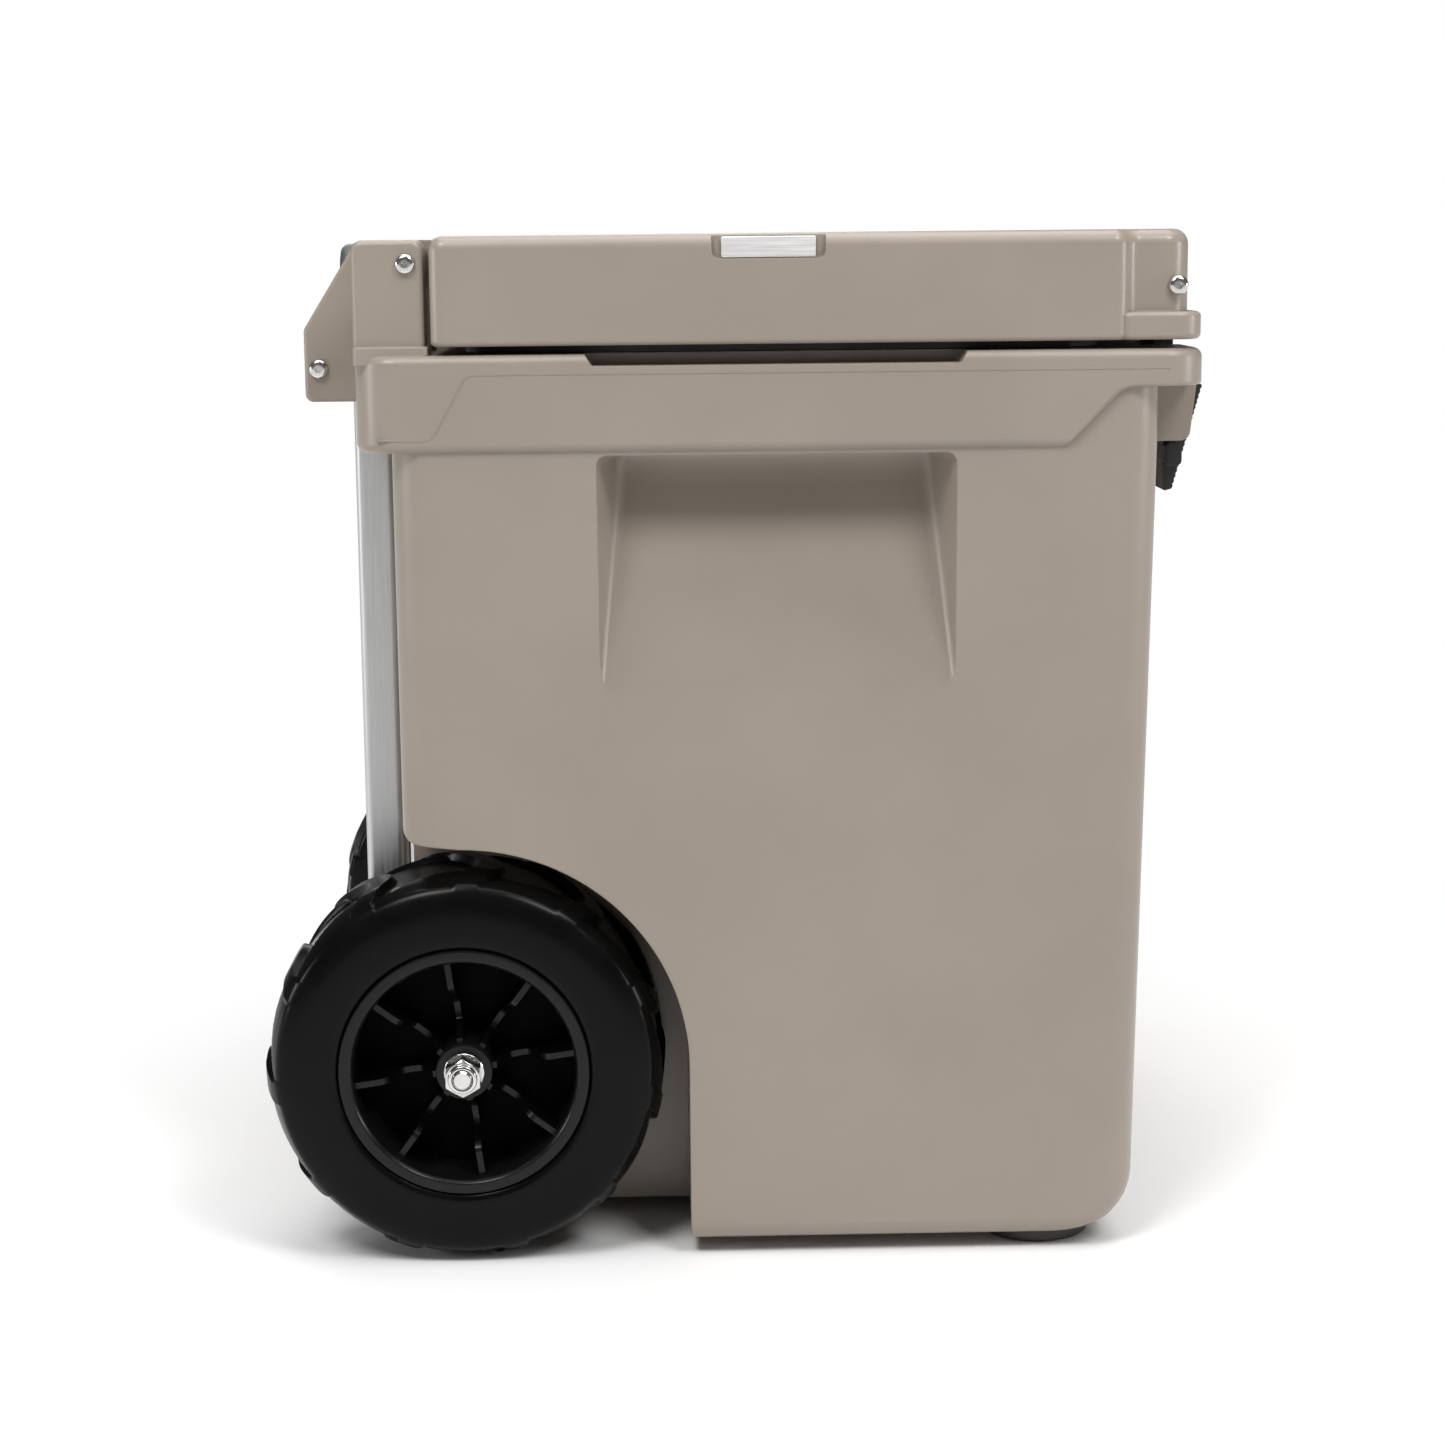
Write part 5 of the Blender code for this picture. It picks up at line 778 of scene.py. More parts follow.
def lip_slots(side):
    middle, front_x = side * LATCH_MIDDLE_Y, RIM_FRONT_X + OVERRUN
    low_z, high_z = LIP_BASE_Z - OVERRUN, RIM_TOP_Z + OVERRUN
    narrow, wide = LATCH_HALF_W + SLOT_CLEAR, GUARD_HALF_IN
    return (block("strap_slot", (BODY_FRONT_X, middle - narrow, low_z),
                  (front_x, middle + narrow, high_z)),
            block("ear_slot", (KEEPER_X, middle - wide, low_z), (front_x, middle + wide, high_z)))


def on_side_wall(edge):
    """Whether an edge is sharp and lies in one of the drafted side walls."""
    return is_sharp(edge, math.radians(15)) and all(
        abs(abs(vert.co.y) - BODY_HALF_W + SIDE_DRAFT_SHARE * max(RIM_BASE_Z - vert.co.z, 0))
        < WALL_TOLERANCE and BODY_BASE_Z + BASE_EDGE_R < vert.co.z < RIM_BASE_Z
        for vert in edge.verts)


def make_body(sizes):
    body = body_walls()
    for _, side in SIDES:
        cut(body, hand_hold(side), wheel_well(side))
    clean(body)
    round_edges(body, sizes.wall_edge, on_side_wall)
    rim = rim_band()
    add(rim, *[parting_bead(side, sizes.parting_line) for _, side in SIDES])
    add(body, rim)
    for _, side in SIDES:
        add(body, *hinge_ears(side), *keepers(side))
        cut(body, *lip_slots(side), side_notch(side))
    cut(body, block("handle_bay", (WING_REAR_X - OVERRUN, -WING_INNER_Y, RIM_BASE_Z - OVERRUN),
                    (BODY_REAR_X, WING_INNER_Y, EAR_TOP_Z + OVERRUN)))
    cut(body, cavity())
    for x, z, rod_r in ((HINGE_X, HINGE_Z, ROD_R), (HANDLE_ROD_X, HANDLE_ROD_Z, ROD_R),
                        (AXLE_X, AXLE_Z, AXLE_R)):
        cut(body, peg("bore", rod_r + FIT_GAP, -RIM_HALF_W, RIM_HALF_W, "Y", (x, 0, z),
                      HIDDEN_BORE_STEPS))
    reach = CAVITY_REAR_X + CAVITY_STEP + OVERRUN - BODY_REAR_X
    cut(body, peg("drain_bore", DRAIN_BORE_R, -OVERRUN, reach, "X", (BODY_REAR_X, 0, DRAIN_Z)))
    return body


# Lid

def lid_plan():
    half, narrow = LID_HALF_W, LID_HALF_W - LID_STEP_IN
    return mirrored_plan([(LID_REAR_X, -half, LID_REAR_CORNER_R), (LID_STEP_X, -half, LID_STEP_R),
                          (LID_STEP_X + LID_STEP_L, -narrow, LID_STEP_R),
                          (LID_FRONT_X, -narrow, LID_CORNER_R)])


def knuckle(low, high):
    """A hinge knuckle round the rod, rooted in the lid's back."""
    root_x = LID_BACK_X + LID_TOP_R
    points = [Vector((root_x, HINGE_Z - KNUCKLE_R)), Vector((root_x, HINGE_Z + KNUCKLE_R))]
    points += arc(HINGE_X, HINGE_Z, KNUCKLE_R, math.pi / 2, math.pi, ARC_STEPS * 2)
    return drawn("knuckle", points, "Y", low, high)


def plate_notch():
    shape = flared_notch(PLATE_MIDDLE_X, PLATE_HALF_L + PLATE_NOTCH_SIDE, PLATE_BASE_Z - FIT_GAP,
                         LID_TOP_Z + OVERRUN, 0, PLATE_NOTCH_R)
    return drawn("notch", shape, "Y", -LID_HALF_W - OVERRUN, PLATE_NOTCH_DEPTH - LID_HALF_W)


def make_lid():
    lid = rounded_slab("moulded_lid", lid_plan(), LID_BASE_Z, LID_TOP_Z, LID_EDGE_R, LID_TOP_R)
    lip = rectangle(LID_STEP_X - LID_STEP_L, LID_LIP_X, -LID_HALF_W, LID_HALF_W, LID_CORNER_R)
    plug = rectangle(CAVITY_REAR_X + PLUG_CLEAR, CAVITY_FRONT_X - PLUG_CLEAR,
                     PLUG_CLEAR - CAVITY_HALF_W, CAVITY_HALF_W - PLUG_CLEAR,
                     CAVITY_CORNER_R - PLUG_CLEAR)
    add(lid, rounded_slab("lip", lip, LID_BASE_Z, LID_LIP_TOP_Z, LID_EDGE_R, LID_EDGE_R),
        rounded_slab("plug", plug, LID_BASE_Z - PLUG_DEPTH, LID_BASE_Z + LID_EDGE_R,
                     LID_EDGE_R, 0))
    cut(lid, block("back", (LID_REAR_X - OVERRUN, CHEEK_T - LID_HALF_W, LID_BASE_Z - OVERRUN),
                   (LID_BACK_X, LID_HALF_W - CHEEK_T, LID_TOP_Z + OVERRUN)))
    inner, outer = WING_OUTER_Y + KNUCKLE_GAP, POST_INNER_Y - KNUCKLE_GAP
    add(lid, knuckle(-outer, -inner), knuckle(inner, outer),
        knuckle(-CENTRE_KNUCKLE_HALF, CENTRE_KNUCKLE_HALF))
    panel = rectangle(LID_REAR_X + LID_PANEL_IN, LID_FRONT_X - LID_PANEL_IN,
                      LID_PANEL_IN - LID_HALF_W, LID_HALF_W - LID_PANEL_IN, LID_CORNER_R)
    cut(lid, drawn("panel", panel, "Z", LID_TOP_Z - LID_PANEL_DEPTH, LID_TOP_Z + OVERRUN))
    half, clear = LATCH_HALF_W + SLOT_CLEAR, LATCH_LOOP_R + SLOT_CLEAR
    for _, side in SIDES:
        middle = side * LATCH_MIDDLE_Y
        cut(lid, block("slot", (LATCH_ROD_X - clear, middle - half, LID_BASE_Z - OVERRUN),
                       (LID_LIP_X + OVERRUN, middle + half, LATCH_ROD_Z + clear)))
    cut(lid, plate_notch())
    for x, z, gap in ((HINGE_X, HINGE_Z, RUN_GAP), (LATCH_ROD_X, LATCH_ROD_Z, FIT_GAP)):
        cut(lid, peg("bore", ROD_R + gap, -LID_HALF_W, LID_HALF_W, "Y", (x, 0, z),
                     HIDDEN_BORE_STEPS))
    return lid


def make_plate():
    outer_y = PLATE_NOTCH_DEPTH - LID_HALF_W - FIT_GAP
    shape = rectangle(PLATE_MIDDLE_X - PLATE_HALF_L, PLATE_MIDDLE_X + PLATE_HALF_L, PLATE_BASE_Z,
                      PLATE_BASE_Z + PLATE_H, PLATE_T / 2)
    return drawn("side_plate", shape, "Y", outer_y - PLATE_T, outer_y)


# Latches, rods and screws

def make_latch(name, side):
    """A rubber T-latch: a loop round the rod, a strap, ears and a ridged finger pad."""
    x, z, middle = LATCH_ROD_X, LATCH_ROD_Z, side * LATCH_MIDDLE_Y
    pad_top = Vector((x + LATCH_SWELL, z - LATCH_SHOULDER))
    tip_front = Vector((x + LATCH_FRONT, z - LATCH_LENGTH + LATCH_TIP_T / 4))
    points = arc(x, z, LATCH_LOOP_R, 0, math.pi, ARC_STEPS * 2)
    points += [Vector((x - LATCH_BACK, z - LATCH_NECK)),
               Vector((x - LATCH_BACK, z - LATCH_SHOULDER - LATCH_FRONT)),
               Vector((x + LATCH_EAR_BACK, z - LATCH_EAR_DROP)),
               Vector((x + LATCH_FRONT - LATCH_TIP_T, z - LATCH_LENGTH))]
    fall = tip_front - pad_top
    outward = Vector((-fall.y, fall.x)).normalized() * LATCH_RIDGE_H
    for ridge in range(LATCH_RIDGES, -1, -1):
        if ridge < LATCH_RIDGES:
            points += [pad_top + fall * ((ridge + share) / LATCH_RIDGES) + outward
                       for share in LATCH_RIDGE_SHARES]
        points.append(pad_top + fall * (ridge / LATCH_RIDGES))
    points.append(Vector((x + LATCH_FRONT, z - LATCH_SHOULDER + LATCH_TIP_T / 2)))
    item = drawn(name, points, "Y", middle - LATCH_HALF_W, middle + LATCH_HALF_W)
    ears = rectangle(x + LATCH_EAR_BACK, x + LATCH_EAR_BACK + LATCH_EAR_T,
                     z - LATCH_EAR_DROP - LATCH_EAR_H, z - LATCH_EAR_DROP, LATCH_EAR_T / 3)
    add(item, drawn("ears", ears, "Y", middle - LATCH_EAR_HALF, middle + LATCH_EAR_HALF))
    reach = LATCH_HALF_W + OVERRUN
    cut(item, peg("bore", ROD_R + RUN_GAP, -reach, reach, "Y", (x, middle, z)))
    return item


def make_rod(name, x, z, half_length):
    ease = ROD_R / 10
    profile = [(0, half_length), (ROD_R - ease, half_length), (ROD_R, half_length - ease)]
    profile += [(radius, -place) for radius, place in reversed(profile)]
    return spun(name, profile, "Y", (x, 0, z))


def make_screw(name, x, z, side, seat):
    """A button-head screw with a socket for a hexagon key."""
    high, land_r = FIT_GAP + SCREW_HEAD_H, SCREW_SOCKET_R + SCREW_LAND
    section = [(0, high), (land_r, high)]
    for step in range(1, ARC_STEPS + 1):
        turn = math.pi / 2 * step / ARC_STEPS
        rise = SCREW_RIM_SHARE + (1 - SCREW_RIM_SHARE) * math.cos(turn)
        section.append((land_r + (SCREW_HEAD_R - land_r) * math.sin(turn),
                        FIT_GAP + SCREW_HEAD_H * rise))
    section += [(SCREW_HEAD_R, FIT_GAP), (0, FIT_GAP)]
    item = turned(name, section, side, ROD_STEPS, (x, side * seat, z))
    key = hexagon(x, z, SCREW_SOCKET_R * SCREW_KEY_SHARE)
    cut(item, drawn_out("key", key, side, seat + high - SCREW_SOCKET_DEPTH,
                        seat + high + OVERRUN))
    return item


# Wheels

def ease_step(value, low, high):
    """0 below low, 1 above high and a smooth rise between them."""
    share = min(max((value - low) / (high - low), 0), 1)
    return share * share * (3 - 2 * share)


def smooth_line(shares, steps):
    """A smooth line through points, with as many steps to each stretch as the list says."""
    fine = []
    for index, count in enumerate(steps):
        before, start, end, after = (Vector(shares[max(min(index + offset, len(shares) - 1), 0)])
                                     for offset in (-1, 0, 1, 2))
        for step in range(count):
            t = step / count
            fine.append(0.5 * (2 * start + (end - before) * t
                               + (2 * before - 5 * start + 4 * end - after) * t ** 2
                               + (3 * start - before - 3 * end + after) * t ** 3))
    return fine + [Vector(shares[-1])]


def smooth_section():
    """The tyre's section drawn as a smooth line through its shares."""
    last = len(TYRE_SECTION_SHARES) - 1
    steps = [3] * 2 + [8] * (last - 3) + [3]
    return [(min(max(point.x, 0), 1), min(max(point.y, 0), 1))
            for point in smooth_line(TYRE_SECTION_SHARES, steps)]


def tread_drop(place, across):
    """How far the tread lies below a claw's top, at a place in a lug's pitch."""
    claw = 1 - ease_step(place, CLAW_SHARE, CLAW_SHARE + CLAW_EASE_SHARE)
    claw = max(claw, ease_step(place, 1 - CLAW_EASE_SHARE, 1))
    past = (place - CLAW_SHARE) / (1 - CLAW_SHARE)
    inward = 1 - abs(1 - 2 * across)
    reach = CRESCENT_SHARE * (1 - past)
    crescent = 0
    if place > CLAW_SHARE:
        crescent = 1 - ease_step(inward, reach - CRESCENT_BEFORE_SHARE,
                                 reach + CRESCENT_AFTER_SHARE)
    return (CLAW_DEPTH + (CRESCENT_DEPTH - CLAW_DEPTH) * crescent) * (1 - claw)


def make_tyre(name, side):
    """A tyre with rounded shoulders and claw-shaped lugs that sweep in from both of them."""
    pitch, inner_r = math.tau / LUG_COUNT, BEAD_R + FIT_GAP
    tread = [depth for height, depth in TYRE_SECTION_SHARES if height > SHOULDER_SHARE]
    rings = []
    for height, depth in smooth_section():
        across = min(max((depth - tread[0]) / (tread[-1] - tread[0]), 0), 1)
        relief = ease_step(height, RELIEF_START_SHARE, RELIEF_END_SHARE)
        sweep = STAGGER_SHARE * across * height - CLAW_SWEEP_SHARE * math.sin(math.pi * across)
        y = side * (RING_Y - WHEEL_W * depth)
        ring = []
        for lug in range(LUG_COUNT):
            for place in LUG_COLUMN_SHARES:
                turn = LUG_START + pitch * (lug + place + sweep)
                radius = inner_r + (WHEEL_R - inner_r) * height - relief * tread_drop(place, across)
                ring.append((AXLE_X + radius * math.cos(turn), y, AXLE_Z + radius * math.sin(turn)))
        rings.append(ring)
    return lofted(name, rings, closed=True)


def make_rib(turn, side):
    """One thin rib from the boss to the barrel, whose front edge dips on its way."""
    start_r, end_r, back = BOSS_R - RIB_T, BARREL_IN_R + RIB_T / 2, WEB_DEPTH + WEB_T / 2
    edge = [(start_r, RIB_SET_BACK)]
    for place, share in smooth_line(RIB_EDGE_SHARES, [4] * (len(RIB_EDGE_SHARES) - 1)):
        edge.append((BOSS_R + (BARREL_IN_R - BOSS_R) * place,
                     RIB_SET_BACK + RIB_DIP * min(max(share, 0), 1)))
    edge += [(end_r, RIB_SET_BACK), (end_r, back), (start_r, back)]
    rings = []
    for across in (-RIB_T / 2, RIB_T / 2):
        rings.append([(AXLE_X + radius * math.cos(turn) - across * math.sin(turn),
                       side * (RING_Y - depth),
                       AXLE_Z + radius * math.sin(turn) + across * math.cos(turn))
                      for radius, depth in edge])
    return lofted("rib", rings)


def make_hub(name, side):
    """A moulded hub: barrel, recessed web, boss and eight dipped ribs."""
    lip, web_back = RIB_SET_BACK / 4, WEB_DEPTH + WEB_T
    section = (
        (HUB_BORE_R, BOSS_SET_BACK), (BOSS_R - HUB_EDGE, BOSS_SET_BACK),
        (BOSS_R - HUB_NICK, BOSS_SET_BACK + HUB_NICK), (BOSS_R, BOSS_SET_BACK + HUB_EDGE),
        (BOSS_R, WEB_DEPTH), (BARREL_IN_R, WEB_DEPTH), (BARREL_IN_R, lip + HUB_LIP_EASE * 2),
        (BARREL_IN_R + HUB_LIP_EASE, lip), (BARREL_IN_R + lip - HUB_NICK, HUB_LIP_EASE),
        (BARREL_IN_R + lip + HUB_LIP_END, 0), (BEAD_R - HUB_EDGE, 0),
        (BEAD_R - HUB_NICK, HUB_NICK), (BEAD_R, HUB_EDGE), (BEAD_R, WHEEL_W),
        (BARREL_IN_R, WHEEL_W), (BARREL_IN_R, web_back), (BOSS_R, web_back),
        (BOSS_R, WHEEL_W), (HUB_BORE_R, WHEEL_W),
    )
    item = turned(name, [(radius, RING_Y - depth) for radius, depth in section], side, WHEEL_STEPS)
    for rib in range(RIB_COUNT):
        add(item, make_rib(RIB_START + math.tau * rib / RIB_COUNT, side))
    return item


def make_washer(name, side, low, high):
    bore_r = AXLE_R + FIT_GAP
    section = ((bore_r, low), (WASHER_R - WASHER_EASE, low), (WASHER_R, low + WASHER_EASE),
               (WASHER_R, high - WASHER_EASE), (WASHER_R - WASHER_EASE, high), (bore_r, high))
    return turned(name, section, side, DISC_STEPS)


def make_nut(name, side, low):
    """A hexagon lock nut: chamfered corners and the round collar of its locking ring."""
    flat, top = NUT_ACROSS / 2, low + NUT_H
    corner = flat / math.cos(math.pi / HEXAGON)
    item = drawn_out(name, hexagon(AXLE_X, AXLE_Z, corner, math.pi / HEXAGON), side, low, top)
    cone = ((0, low), (corner, low), (corner, top - NUT_CHAMFER), (flat - NUT_FACE_IN, top),
            (0, top))
    combine(item, "INTERSECT", [turned("chamfer", cone, side, DISC_STEPS * 3 // 2)])
    sunk = top - NUT_COLLAR_SUNK
    eased = [(NUT_COLLAR_R - ease, top + NUT_COLLAR_H * share)
             for ease, share in zip((0, *NUT_COLLAR_EASES), (*NUT_COLLAR_SHARES, 1))]
    collar = [(0, sunk), (NUT_COLLAR_R, sunk), *eased, (0, top + NUT_COLLAR_H)]
    add(item, turned("collar", collar, side, DISC_STEPS))
    low, high = sorted((side * (low - OVERRUN), side * (top + OVERRUN)))
    cut(item, peg("bore", AXLE_R + FIT_GAP, low, high, "Y", AXLE, ROD_STEPS))
    return item


def make_axle(reach):
    """The axle rod with its turned thread at both ends."""
    root_r, start = AXLE_R - THREAD_DEPTH, reach - THREAD_START
    profile = [(0, reach), (AXLE_R - AXLE_EASE_R, reach), (root_r, reach - AXLE_EASE_L)]
    for turn in range(THREAD_TURNS):
        profile += [(AXLE_R - THREAD_CREST, start - THREAD_PITCH * (turn + 0.25)),
                    (root_r, start - THREAD_PITCH * (turn + 0.75))]
    profile.append((AXLE_R, start - THREAD_PITCH * (THREAD_TURNS + 0.5)))
    profile += [(radius, -place) for radius, place in reversed(profile)]
    return spun("axle_bar", profile, "Y", AXLE)


# Handle

def tube_plan(side, shrink, radius):
    middle = side * TUBE_Y
    deep, wide = TUBE_DEEP / 2 - shrink, TUBE_WIDE / 2 - shrink
    return rectangle(TUBE_X - deep, TUBE_X + deep, middle - wide, middle + wide, radius,
                     TUBE_ARC_STEPS)


def sleeve(name, outer, inner, low, high, width, segments):
    """An upright tube between two plans, with softened ends."""
    rings = [[(p.x, p.y, level) for p in points] for points, level in (
        (outer, low), (outer, high), (inner, high), (inner, low))]
    item = lofted(name, rings, closed=True)
    return round_edges(item, width, edges_at(2, low, high), segments)


def make_tube(name, side, shrink, wall, low, high):
    outer = tube_plan(side, shrink, max(TUBE_R - shrink, wall))
    inner = tube_plan(side, shrink + wall, max(TUBE_R - shrink - wall, wall / 2))
    return sleeve(name, outer, inner, low, high, TUBE_END_R, 2)


def make_collar(name, side, shrink, low):
    outer, inner = tube_plan(side, 0, TUBE_R), tube_plan(side, shrink, TUBE_R / 2)
    return sleeve(name, outer, inner, low, low + COLLAR_T, COLLAR_EDGE_R, 3)


def make_housing():
    half = WING_INNER_Y - RUN_GAP
    shape = rectangle(HOUSING_REAR_X, HOUSING_FRONT_X, HOUSING_BASE_Z, HOUSING_TOP_Z, HOUSING_R)
    item = drawn("tube_housing", shape, "Y", -half, half)
    for _, side in SIDES:
        cut(item, drawn("socket", tube_plan(side, -FIT_GAP, TUBE_R), "Z",
                        HOUSING_BASE_Z - OVERRUN, HOUSING_TOP_Z + OVERRUN))
    cut(item, peg("bore", ROD_R + FIT_GAP, -half - OVERRUN, half + OVERRUN, "Y",
                  (HANDLE_ROD_X, 0, HANDLE_ROD_Z)))
    return item


def button_plan(gap):
    deep, wide = BUTTON_HALF_DEEP + gap, BUTTON_HALF_W + gap
    return rectangle(TUBE_X - deep, TUBE_X + deep, -wide, wide, BUTTON_R)


def make_grip():
    half, inner = GRIP_HALF_W, GRIP_HALF_W - GRIP_LEG_W
    shape = outline(((-half, GRIP_LEG_Z, 0), (-inner, GRIP_LEG_Z, 0),
                     (-inner, GRIP_BAR_Z, GRIP_INNER_R), (inner, GRIP_BAR_Z, GRIP_INNER_R),
                     (inner, GRIP_LEG_Z, 0), (half, GRIP_LEG_Z, 0),
                     (half, GRIP_TOP_Z, GRIP_OUTER_R), (-half, GRIP_TOP_Z, GRIP_OUTER_R)))
    item = drawn("cross_grip", shape, "X", GRIP_REAR_X, GRIP_FRONT_X)
    on_end = edges_at(0, GRIP_REAR_X, GRIP_FRONT_X)
    round_edges(item, GRIP_EDGE_R, lambda edge: on_end(edge) and (
        max(vert.co.z for vert in edge.verts) > GRIP_LEG_Z + MERGE), 5)
    shrink = OUTER_WALL + MIDDLE_WALL + 2 * RUN_GAP - FIT_GAP
    for _, side in SIDES:
        cut(item, drawn("socket", tube_plan(side, shrink, INNER_WALL), "Z",
                        GRIP_LEG_Z - OVERRUN, GRIP_BAR_Z + FIT_GAP))
    cut(item, drawn("window", button_plan(RUN_GAP), "Z", GRIP_BAR_Z + WINDOW_FLOOR,
                    GRIP_TOP_Z + OVERRUN))
    return item


def make_button():
    low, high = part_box("release_button")[0].z, GRIP_TOP_Z + BUTTON_PROUD
    return rounded_slab("press_button", button_plan(0), low, high, 0, BUTTON_EDGE_R)


def make_bracket(name, side):
    middle, half = side * TUBE_Y, TUBE_WIDE / 2 + BRACKET_SIDE
    plan = rectangle(BRACKET_REAR_X, BODY_REAR_X - FIT_GAP, middle - half, middle + half,
                     BRACKET_SIDE)
    item = rounded_slab(name, plan, BRACKET_BASE_Z, BRACKET_TOP_Z, BRACKET_EDGE_R, BRACKET_EDGE_R)
    cut(item, drawn("socket", tube_plan(side, -FIT_GAP, TUBE_R), "Z",
                    BRACKET_BASE_Z + BRACKET_SEAT - FIT_GAP, BRACKET_TOP_Z + OVERRUN))
    cut(item, peg("screw_bore", BRACKET_HEAD_R + FIT_GAP, -OVERRUN, BRACKET_HEAD_H, "X",
                  (BRACKET_REAR_X, middle, BRACKET_SCREW_Z)))
    return item


def crossed(item, x, y, z, low, high, half_t, half_l):
    """Cuts two crossing slots into a face that looks to the rear."""
    for half_y, half_z in ((half_t, half_l), (half_l, half_t)):
        cut(item, block("slot", (x + low, y - half_y, z - half_z),
                        (x + high, y + half_y, z + half_z)))
    return item


def make_bracket_screw(name, side):
    high = BRACKET_HEAD_H - FIT_GAP
    eased = [(BRACKET_HEAD_R - ease, place) for ease, place in BRACKET_HEAD_EASES]
    profile = [(0, 0), *eased, (BRACKET_HEAD_R, high), (0, high)]
    place = (BRACKET_REAR_X, side * TUBE_Y, BRACKET_SCREW_Z)
    return crossed(spun(name, profile, "X", place), *place, -OVERRUN, CROSS_DEPTH,
                   CROSS_HALF_T, CROSS_HALF_L)


# Drain and feet

def make_drain_plug():
    head = FIT_GAP + DRAIN_SEAL_T + FIT_GAP
    ease, stem_r = DRAIN_PLUG_H / 6, DRAIN_BORE_R - RUN_GAP
    nick = ease * DRAIN_EASE_SHARE
    stem_l = CAVITY_REAR_X - BODY_REAR_X - FIT_GAP
    outer = -head - DRAIN_PLUG_H
    profile = ((0, outer), (DRAIN_PLUG_R - ease, outer), (DRAIN_PLUG_R - nick, outer + nick),
               (DRAIN_PLUG_R, outer + ease), (DRAIN_PLUG_R, -head), (stem_r, -head),
               (stem_r, stem_l), (0, stem_l))
    item = spun("threaded_plug", profile, "X", (BODY_REAR_X, 0, DRAIN_Z), DISC_STEPS)
    return crossed(item, BODY_REAR_X + outer, 0, DRAIN_Z, -OVERRUN, DRAIN_PLUG_H / 2,
                   DRAIN_SEAL_T / 2, DRAIN_PLUG_R + OVERRUN)


def make_foot(name, side):
    profile = ((0, 0), (FOOT_R - FOOT_TAPER, 0),
               (FOOT_R - FOOT_TAPER * FOOT_EDGE_SHARE, FOOT_EDGE_H), (FOOT_R, FOOT_TAPER),
               (FOOT_R, FOOT_H), (0, FOOT_H))
    return spun(name, profile, "Z", (FOOT_X, side * FOOT_Y, 0), FOOT_STEPS)


# What a user may change

def colour_setting(name, description, default):
    return FloatVectorProperty(name=name, description=description, subtype="COLOR", size=3,
                               min=0, max=1, default=linear(default)[:3])


def length_setting(name, description, default, highest):
    return FloatProperty(name=name, description=description, default=default,
                         min=SMALLEST_SIZE, max=highest, unit="LENGTH")


class CoolerSizes(bpy.types.PropertyGroup):
    """Fine sizes that can be changed without moving a piece."""
    wall_edge: length_setting("Wall edges", "Radius of the edges in the body's side walls",
                              0.0022, 0.004)
    parting_line: length_setting("Parting line", "Height of the mould's line on the rim",
                                 0.0002, 0.0008)
    latch_edge: length_setting("Latch edges", "Radius of the rubber latches' edges", 0.0006, 0.001)
    plate_edge: length_setting("Plate edges", "Radius of the bare plate's edges", 0.0003, 0.0006)
    nut_edge: length_setting("Nut edges", "Radius of the lock nuts' edges", 0.0002, 0.0004)
    housing_edge: length_setting("Housing edges", "Radius of the tube housing's edges",
                                 0.0008, 0.0015)


class CoolerColours(bpy.types.PropertyGroup):
    """The colours of the finishes."""
    body: colour_setting("Body", "Tan polyethylene of the body and the lid", "#93887D")
    rubber: colour_setting("Latches", "Black rubber of the latches and the seals", "#1B1B1B")
    tyre: colour_setting("Tyres", "Black of the tyres", "#080808")
    hub: colour_setting("Hubs", "Black plastic of the hubs, the plug and the button", "#101010")
    # This darker black is painted shade for the hub's recessed web and rib flanks.
    dish: colour_setting("Hub dish", "Dull black of the hubs' webs and ribs' flanks", "#040404")
    handle: colour_setting("Handle", "Grey plastic of the handle's mouldings", "#454749")
    foot: colour_setting("Feet", "Grey rubber of the feet", "#363839")
    tube: colour_setting("Tubes", "Anodised aluminium of the handle's tubes", "#C8C8C8")
    plate: colour_setting("Side plate", "Bare aluminium of the plate in the lid's side", "#F2F0F0")
    steel: colour_setting("Steel", "Stainless steel of the rods, axle and screws", "#D5D4D2")


class CoolerStage(bpy.types.PropertyGroup):
    """The camera and the light round the cooler."""
    lens: FloatProperty(name="Lens", description="Focal length on a 36 mm sensor", default=72.06,
                        min=20, max=200, unit="CAMERA")
    yaw: FloatProperty(name="Yaw", description="Turn of the camera to the right of +Y",
                       default=math.radians(1.334), subtype="ANGLE")
    pitch: FloatProperty(name="Pitch", description="Fall of the camera's line below level",
                         default=math.radians(9.466), subtype="ANGLE")
    roll: FloatProperty(name="Roll", description="Tilt of the camera about its own line",
                        default=-0.0097, subtype="ANGLE")
    light: FloatProperty(name="Light", description="Strength of the lamps", default=1.0, min=0)


# Operators

def pale_floor():
    """A pale floor that fades into the white round it, so that no horizon shows."""
    material, tree, shader, where = blank_material("pale_floor", 0.7)
    shader.inputs["Base Color"].default_value = linear("#F4F4F4")
    shader.inputs["Specular IOR Level"].default_value = 0.2
    away = add_node(tree, "ShaderNodeVectorMath", {"operation": "LENGTH"}, _0=where)
    fade = add_node(tree, "ShaderNodeMapRange", _0=away.outputs["Value"], _1=FADE_START_R,
                    _2=FADE_END_R)
    glow = add_node(tree, "ShaderNodeEmission", Strength=1.0)
    mixed = add_node(tree, "ShaderNodeMixShader", _0=fade.outputs[0], _1=shader.outputs[0],
                     _2=glow.outputs[0])
    tree.links.new(mixed.outputs[0], tree.nodes["Material Output"].inputs["Surface"])
    return material


